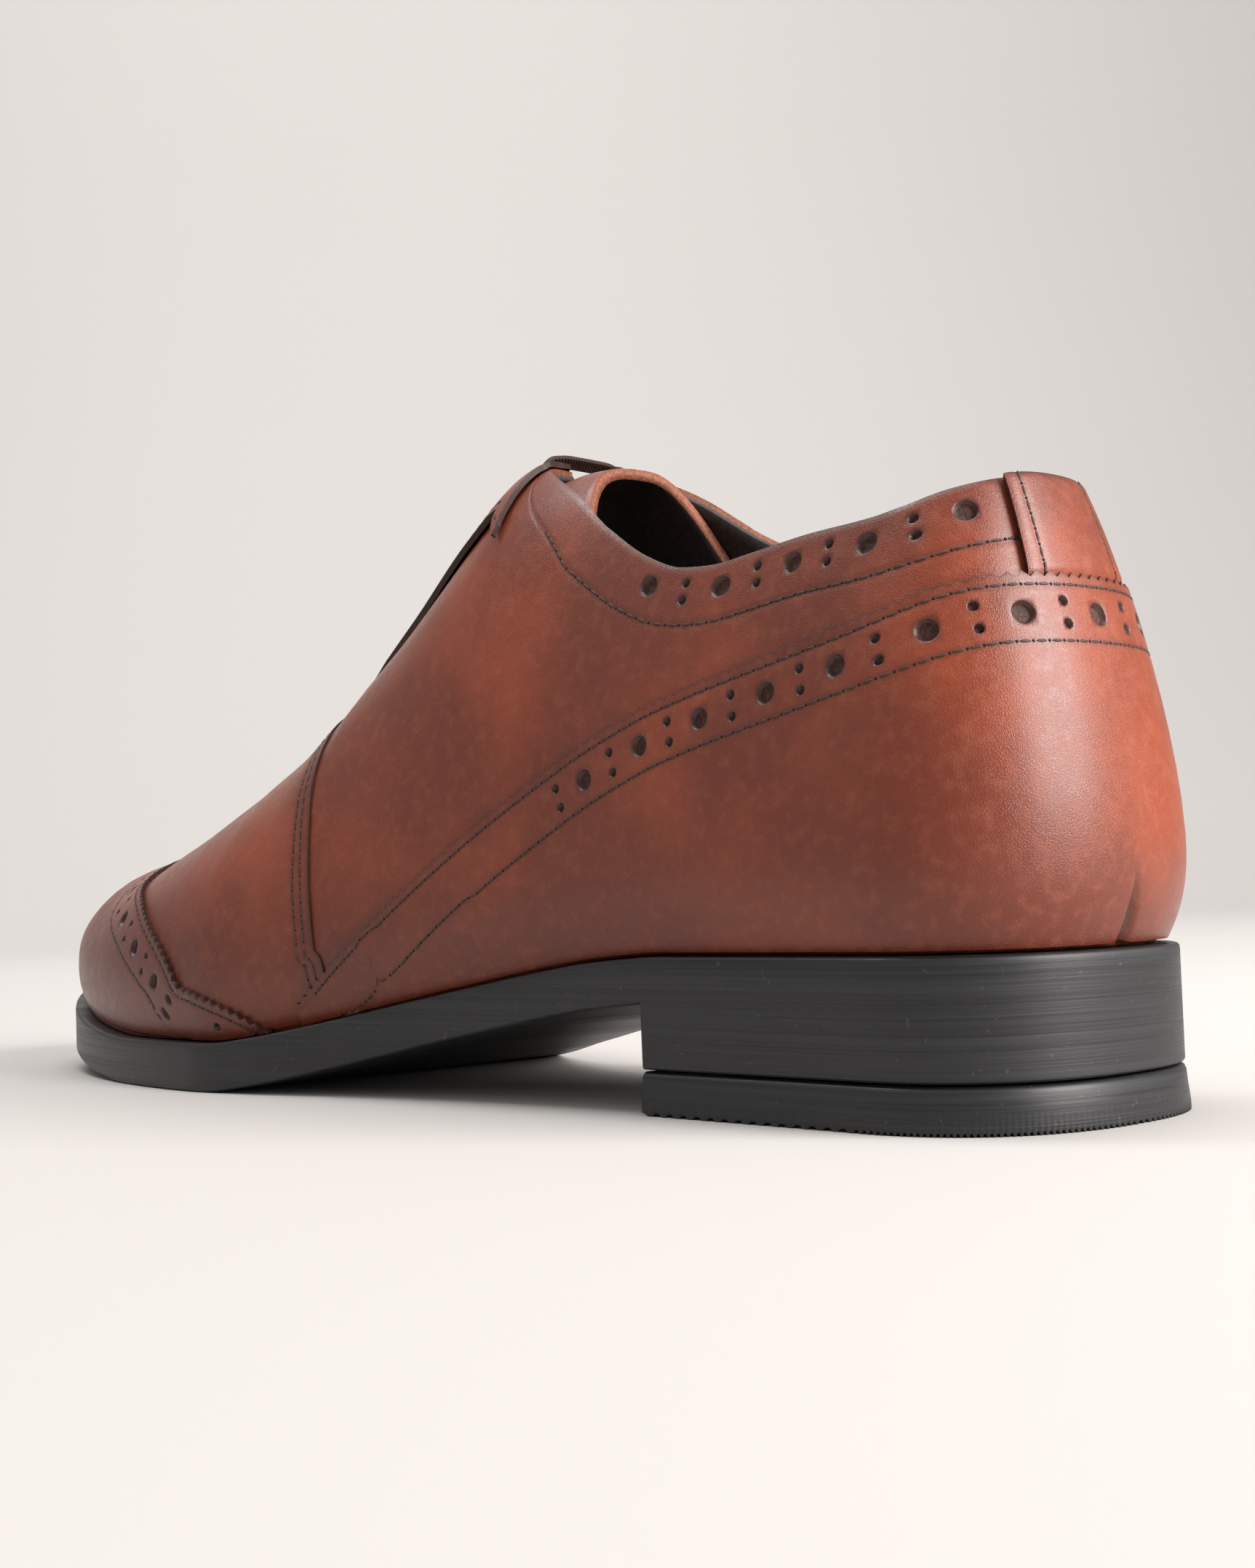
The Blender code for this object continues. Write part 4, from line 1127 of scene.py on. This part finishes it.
def make_vamp(mats, threads):
    """Vamp: two rows of stitches behind the throat, no punching."""
    cell = 0.0009
    seams = (2.5, 4.7)
    front_piece("vamp_leather", VAMP_EDGE, cell, (10, 60), VAMP_LIFT, 0.0009, seams, mats, threads)


def make_wing_cap(mats, threads):
    """Wing cap: pinked and punched along its rear edge, with its point on the ridge."""
    row = round(PINKED_HOLES_IN / CELL)

    def holes(columns):
        return [h for h in holes_in_row(4, columns - 7, PINKED_PITCH, row, skip=0.006) if h[0] > 4]

    made = front_piece(
        "wing_cap_leather", WING_EDGE, CELL, (BAND_ROWS, 46), WING_LIFT, OVERLAY,
        PINKED_SEAMS, mats, threads, holes=holes, teeth=TOOTH_DEPTH,
    )
    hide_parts("wing_cap")


def make_back_strip(mats, threads, quarters, centre):
    """Strip over the back seam, sewn down both sides, tucked under the counter."""
    rows, columns = 34, 44
    down = np.linspace(0, 1, rows + 1)
    half = (STRIP_WIDTH + (STRIP_FOOT_WIDTH - STRIP_WIDTH) * down) / 2
    i = centre + np.linspace(-1, 1, columns + 1)[:, None] * half[None, :] / QUARTER_CELL
    j = np.repeat(down[None, :] * STRIP_DEPTH / QUARTER_CELL, columns + 1, axis=0)
    a = quarters.read(quarters.w, i, j)
    b = quarters.read(quarters.level, i, j)
    tuck = 0.0002 + (STRIP_LIFT - 0.0002) * np.clip((1 - down) / 0.14, 0, 1)
    laid = Laid(a, b, np.broadcast_to(tuck[None, :], a.shape))
    piece = flat_piece(columns, rows)
    verts = list(piece.verts)
    flat = np.array([v.co for v in verts])
    out = np.zeros(len(verts))
    for seam in (5, columns - 5):
        out -= GROOVE_DEPTH * np.exp(-(((flat[:, 0] - seam) * 0.5e-3 / GROOVE_WIDTH) ** 2))
    side = np.minimum(flat[:, 0], columns - flat[:, 0])
    out -= 0.0002 * np.exp(-((side / 0.8) ** 2)) + 0.0002 * np.exp(-((flat[:, 1] / 0.8) ** 2))
    for v, spot in zip(verts, laid.points(flat[:, 0], flat[:, 1], out)[0]):
        v.co = spot
    face_out(piece)
    add_rim(piece, OVERLAY)
    made = finish_mesh("back_strip_leather", piece, leather(mats))
    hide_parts("back_strip")
    for seam in (5.2, columns - 5.2):
        j = np.arange(1.5, rows - 4, STITCH_PITCH / 0.00055)
        for places, kind in ((j, "thread"), (j + STITCH_PITCH / 0.0011, "needle")):
            spot, normal = laid.points(np.full(len(places), seam), places, -GROOVE_DEPTH)
            ahead = laid.points(np.full(len(places), seam), places + 0.5, -GROOVE_DEPTH)[0]
            for point, x, z in zip(spot, ahead - spot, normal):
                threads[kind].append((point, Vector(x).normalized(), z))


def facing_places(side):
    """Grid of a facing: columns down the throat, rows out from its edge."""
    start, end = position_at(FACING_TOP - 0.003), position_at(THROAT - 0.001)
    p = np.linspace(start, end, 110)
    top = top_level(side, p)
    levels = []
    for q, t in zip(p, top):
        steps = np.linspace(t, 0, 160)
        line = last_point(side, np.full(160, q), steps)
        run = np.concatenate([[0], np.cumsum(np.linalg.norm(np.diff(line, axis=0), axis=1))])
        levels.append(np.interp(np.linspace(0, FACING_WIDTH, FACING_ROWS + 1), run, steps))
    a = np.repeat((side * p)[:, None], FACING_ROWS + 1, axis=1)
    return Laid(a, np.array(levels), FACING_LIFT), len(p) - 1


def make_facing(side, name, mats, threads):
    """Facing: doubled leather along the throat with five punched lace holes."""
    laid, columns = facing_places(side)
    seams = (3.5, FACING_ROWS - 3.5)
    eyelets = [round(6 + k * (columns - 14) / 4.6) for k in range(5)]
    row = round(EYELET_INSET / FACING_WIDTH * FACING_ROWS)
    holes = [(i, row, EYELET_HOLE, 2) for i in eyelets]
    piece = flat_piece(columns, FACING_ROWS, holes)
    wrap(piece, laid, seams)
    face_out(piece)
    add_rim(piece, OVERLAY)
    made = finish_mesh(f"{name}_leather", piece, leather(mats))
    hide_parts(name)
    for seam in seams:
        stitch_row(threads, laid, seam, 1, columns - 1, STITCH_PITCH * 0.9)
    return laid, eyelets


def make_tongue(mats):
    """Tongue: padded leather under the facings, with a cut edge round its top."""
    parts = []
    rows, columns = 30, 60
    start, end = float(position_at(TONGUE_TOP)), float(position_at(THROAT + 0.045))
    for side in (1, -1):
        t = np.linspace(0, 1, columns + 1)[:, None]
        v = np.linspace(0, 1, rows + 1)[None, :]
        level = 2 - v * 0.508 + 0 * t
        p = start + (end - start) * t - 1.6 * (1 - t) ** 6 * v**2
        part = flat_piece(columns, rows)
        wrap(part, Laid(side * p, level, -TONGUE_SINK), edge_drop=0.0)
        face_out(part, Vector((0.08, 0.0, 0.02)))
        parts.append(part)
    joined = join_parts(parts)
    made = finish_mesh("tongue_leather_piece", joined, leather(mats, "cut"))
    thicken(made, TONGUE_THICKNESS, edge=2, back=3)
    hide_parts("tongue")


def make_laces(mats, facings, eyelets):
    """Flat laces: a straight bar over each pair of holes, going down into them."""
    for n in range(5):
        ends = []
        for side in (1, -1):
            laid = facings[side]
            i = np.full(9, float(eyelets[side][n]))
            j = np.linspace(FACING_ROWS * EYELET_INSET / FACING_WIDTH, 0, 9)
            lift = np.array([-0.0008, 0.0006, 0.0011] + [0.0012] * 6)
            ends.append(laid.points(i, j, lift))
        line = np.vstack([ends[0][0], ends[1][0][::-1]])
        normal = np.vstack([ends[0][1], ends[1][1][::-1]])
        along = np.gradient(line, axis=0)
        wide = np.cross(along, normal)
        wide /= np.linalg.norm(wide, axis=1, keepdims=True)
        last = len(line) - 1
        piece = bmesh.new()
        bmesh.ops.create_grid(piece, x_segments=last, y_segments=6, size=0.5)
        for v in piece.verts:
            k = round((v.co.x + 0.5) * last)
            across = v.co.y * 2
            rounded = 1 - 0.35 * abs(2 * k / last - 1) ** 8
            crown = 0.00025 * (1 - across**2)
            reach = wide[k] * across * LACE_HALF_WIDTH * rounded
            v.co = Vector(line[k] + reach + normal[k] * crown)
        bmesh.ops.recalc_face_normals(piece, faces=piece.faces)
        if sum(f.normal.z for f in piece.faces) < 0:
            bmesh.ops.reverse_faces(piece, faces=piece.faces)
        made = finish_mesh(f"lace_{n + 1}", piece, [mats["lace"]])
        thicken(made, LACE_THICKNESS)
        round_off = made.modifiers.new("rounded", "SUBSURF")
        round_off.levels = round_off.render_levels = 1
        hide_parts(f"lace_bar_{n + 1}")


def sole_loop(p, floor, profile, across=14):
    """Points of one cross-section of the sole, all the way round it. Each row of the profile
    is a height over the floor, or None and a drop from the upper edge, and how far it grows."""
    sides = {}
    for side in (1, -1):
        x, y = (float(v) for v in outline(side, np.array(p)))
        out = outward(side, np.array(float(p)))
        top, low = float(edge_height(np.array(x))), floor(x)
        column = []
        for share, drop, grow in profile:
            z = top - drop if share is None else low + share
            column.append(np.array((x + out[0] * grow + BACK_X, y + out[1] * grow, z)))
        sides[side] = column
    steps = np.linspace(0, 1, across + 1)[:-1]
    top = [sides[-1][0] + (sides[1][0] - sides[-1][0]) * t for t in steps]
    bottom = [sides[1][-1] + (sides[-1][-1] - sides[1][-1]) * t for t in steps]
    return top + sides[1][:-1] + bottom + sides[-1][::-1][:-1]


def tube_through(loops):
    """Closed solid through loops of equal length, from a grid that is rolled up."""
    piece = bmesh.new()
    count = len(loops[0])
    bmesh.ops.create_grid(piece, x_segments=len(loops) - 1, y_segments=count, size=0.5)
    for v in piece.verts:
        k = round((v.co.x + 0.5) * (len(loops) - 1))
        n = round((v.co.y + 0.5) * count) % count
        v.co = Vector(loops[k][n])
    bmesh.ops.remove_doubles(piece, verts=piece.verts, dist=1e-6)
    bmesh.ops.dissolve_degenerate(piece, edges=piece.edges, dist=1e-6)
    open_edges = [e for e in piece.edges if e.is_boundary]
    if open_edges:
        bmesh.ops.holes_fill(piece, edges=open_edges, sides=0)
    bmesh.ops.recalc_face_normals(piece, faces=piece.faces)
    return piece


def make_sole(mats):
    """Sole and heel block in one, with a softened upper edge, and the heel's top lift with notches
    along its foot.
    """
    steps = np.linspace(0, LAST, 3000)
    breast = float(np.interp(HEEL_LENGTH, outline(1, steps)[0], steps))
    heel = list(np.linspace(0, 7, 60)) + list(np.linspace(7, breast, 26))[1:]
    front = [breast + 0.02] + list(np.linspace(breast + 0.25, 31, 90))
    front += list(np.linspace(31, LAST, 90))[1:]
    heel_floor = TOP_LIFT + LIFT_GAP
    profile = [
        (None, 0.0, -0.0009), (None, 0.00012, -0.0004), (None, 0.0004, -0.0001),
        (None, 0.0010, 0.0), (None, 0.003, 0.0), (None, 0.006, 0.0), (0.0012, 0, 0.0),
        (0.0004, 0, 0.0), (0.0001, 0, -0.00025), (0.0, 0, -0.0006),
    ]
    loops = [sole_loop(p, lambda x: heel_floor, profile) for p in heel]
    loops += [sole_loop(p, lambda x: float(underside(np.array(x))), profile) for p in front]
    made = finish_mesh("outsole_brushed", tube_through(loops), [mats["rubber"]])
    made.data.set_sharp_from_angle(angle=math.radians(SOLE_SHARP_ANGLE))
    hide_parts("outsole")
    loops = []
    for n, p in enumerate(np.concatenate([np.linspace(0, 7, 180), np.linspace(7, breast, 60)[1:]])):
        bite = TREAD_NOTCH / 2 if n % 4 in (1, 2) else 0.0
        lift = [
            (TOP_LIFT, 0, -0.0008), (TOP_LIFT - 0.0004, 0, -0.00015),
            (TOP_LIFT - 0.001, 0, 0.0001), (0.0040, 0, 0.0003), (0.0014, 0, 0.0006),
            (bite, 0, 0.0006 - bite * 0.2), (0.0, 0, -0.0006),
        ]
        loops.append(sole_loop(p, lambda x: 0.0, lift))
    piece = tube_through(loops)
    made = finish_mesh("heel_top_lift_brushed", piece, [mats["rubber"]])
    made.data.set_sharp_from_angle(angle=math.radians(SOLE_SHARP_ANGLE))
    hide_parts("heel_top_lift")


def make_sock(mats):
    """Sock: smooth leather over the insole."""
    loops = []
    for p in np.concatenate([np.linspace(0, 7, 40), np.linspace(7, LAST, 120)[1:]]):
        share = float(mean_x(np.array(p))) / SHOE_LENGTH
        inset = float(table_value(SECTIONS, share, 6)) * BALL_WIDTH + WALL * 1.35 + 2 * LIFT_GAP
        profile = [
            (None, -0.0039, -inset - 0.0006), (None, -0.0036, -inset), (None, -0.0009, -inset),
        ]
        loops.append(sole_loop(p, lambda x: 0.0, profile))
    made = finish_mesh("sock", tube_through(loops), [mats["sock"]])
    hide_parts("insole")


# Set


def make_camera():
    """The photograph's camera, turned a little so that the whole shoe is in the frame."""
    aim = Vector(CAMERA_AIM).normalized()
    right = aim.cross(Vector((0, 0, 1))).normalized()
    up = right.cross(aim)
    turned = Matrix.Rotation(math.radians(CAMERA_PAN), 3, "Z")
    rolled = right * math.cos(CAMERA_ROLL) + up * math.sin(CAMERA_ROLL)
    raised = up * math.cos(CAMERA_ROLL) - right * math.sin(CAMERA_ROLL)
    axes = [turned @ a for a in (rolled, raised, -aim)]
    lens = bpy.data.cameras.new("photo_camera")
    lens.sensor_width = SENSOR
    lens.lens = FOCAL_PIXELS * SENSOR / PICTURE_HEIGHT
    lens.clip_start = 0.01
    camera = bpy.data.objects.new("photo_camera", lens)
    bpy.context.collection.objects.link(camera)
    place = Matrix(axes).transposed().to_4x4()
    place.translation = Vector(CAMERA_FROM_HEEL) + Vector((BACK_X, 0, 0))
    camera.matrix_world = place
    bpy.context.scene.camera = camera


def make_backdrop():
    """One seamless sheet of paper: floor, a wide bend, and the wall behind the shoe."""
    centre = Vector((0.11, 0.0, 0.0))
    turned = Matrix.Rotation(math.radians(CAMERA_PAN), 3, "Z")
    away = (turned @ Vector(CAMERA_AIM)) * Vector((1, 1, 0))
    away.normalize()
    side = Vector((-away.y, away.x, 0))
    bend, run = 1.1, 1.3
    piece = bmesh.new()
    bmesh.ops.create_grid(piece, x_segments=4, y_segments=60, size=1)
    for v in piece.verts:
        across, t = v.co.x * 5.0, (v.co.y + 1) / 2 * 8.0 - 2.6
        if t < run:
            out, high = t, 0.0
        elif t < run + bend * math.pi / 2:
            turn = (t - run) / bend
            out, high = run + bend * math.sin(turn), bend * (1 - math.cos(turn))
        else:
            out, high = run + bend, bend + t - run - bend * math.pi / 2
        v.co = centre + side * across + away * out + Vector((0, 0, high))
    bmesh.ops.recalc_face_normals(piece, faces=piece.faces)
    if sum(f.normal.z for f in piece.faces) < 0:
        bmesh.ops.reverse_faces(piece, faces=piece.faces)
    mesh = bpy.data.meshes.new("backdrop")
    piece.to_mesh(mesh)
    piece.free()
    mesh.shade_smooth()
    made = bpy.data.objects.new("backdrop", mesh)
    bpy.context.collection.objects.link(made)
    mesh.materials.append(studio_paper("studio_paper", (0.56, 0.535, 0.515)))


def add_light(name, place, target, size, power, colour=(1, 1, 1)):
    lamp = bpy.data.lights.new(name, "AREA")
    lamp.shape = "RECTANGLE"
    lamp.size, lamp.size_y = size
    lamp.energy = power
    lamp.color = colour
    made = bpy.data.objects.new(name, lamp)
    bpy.context.collection.objects.link(made)
    made.location = place
    aim = Vector(place) - Vector(target)
    made.rotation_euler = aim.to_track_quat("Z", "Y").to_euler()


def make_lights():
    """A window behind the heel, a weak light overhead, and one aimed at the wall."""
    warm = (1.0, 0.97, 0.95)
    window = (-1.0, -0.32, 0.58)
    add_light("window_behind_heel", window, (0.0, 0.0, 0.05), (0.8, 0.8), 27.0, warm)
    add_light("overhead", (0.25, 0.15, 1.6), (0.1, 0.0, 0.0), (1.4, 1.4), 2.6)
    add_light("wall_wash", (0.6, 0.1, 1.9), (1.6, -1.7, 0.5), (1.8, 0.8), 46.0)
    world = bpy.data.worlds.new("studio")
    bpy.context.scene.world = world
    world.use_nodes = True
    world.node_tree.nodes["Background"].inputs[0].default_value = (0.86, 0.85, 0.84, 1)
    world.node_tree.nodes["Background"].inputs[1].default_value = 0.55
    bpy.context.scene.view_settings.view_transform = "Standard"


def main():
    make_camera()
    mats = make_materials()
    threads = {"thread": [], "needle": []}
    make_counter(mats, threads)
    quarters, centre = make_quarters(mats, threads)
    make_back_strip(mats, threads, quarters, centre)
    make_lining(mats)
    make_vamp(mats, threads)
    make_wing_cap(mats, threads)
    facings, eyelets = {}, {}
    for side, name in ((1, "facing_lateral"), (-1, "facing_medial")):
        facings[side], eyelets[side] = make_facing(side, name, mats, threads)
    make_tongue(mats)
    make_laces(mats, facings, eyelets)
    sew("seams", threads, mats["thread"], mats["needle"])
    make_sole(mats)
    make_sock(mats)
    make_backdrop()
    make_lights()


main()
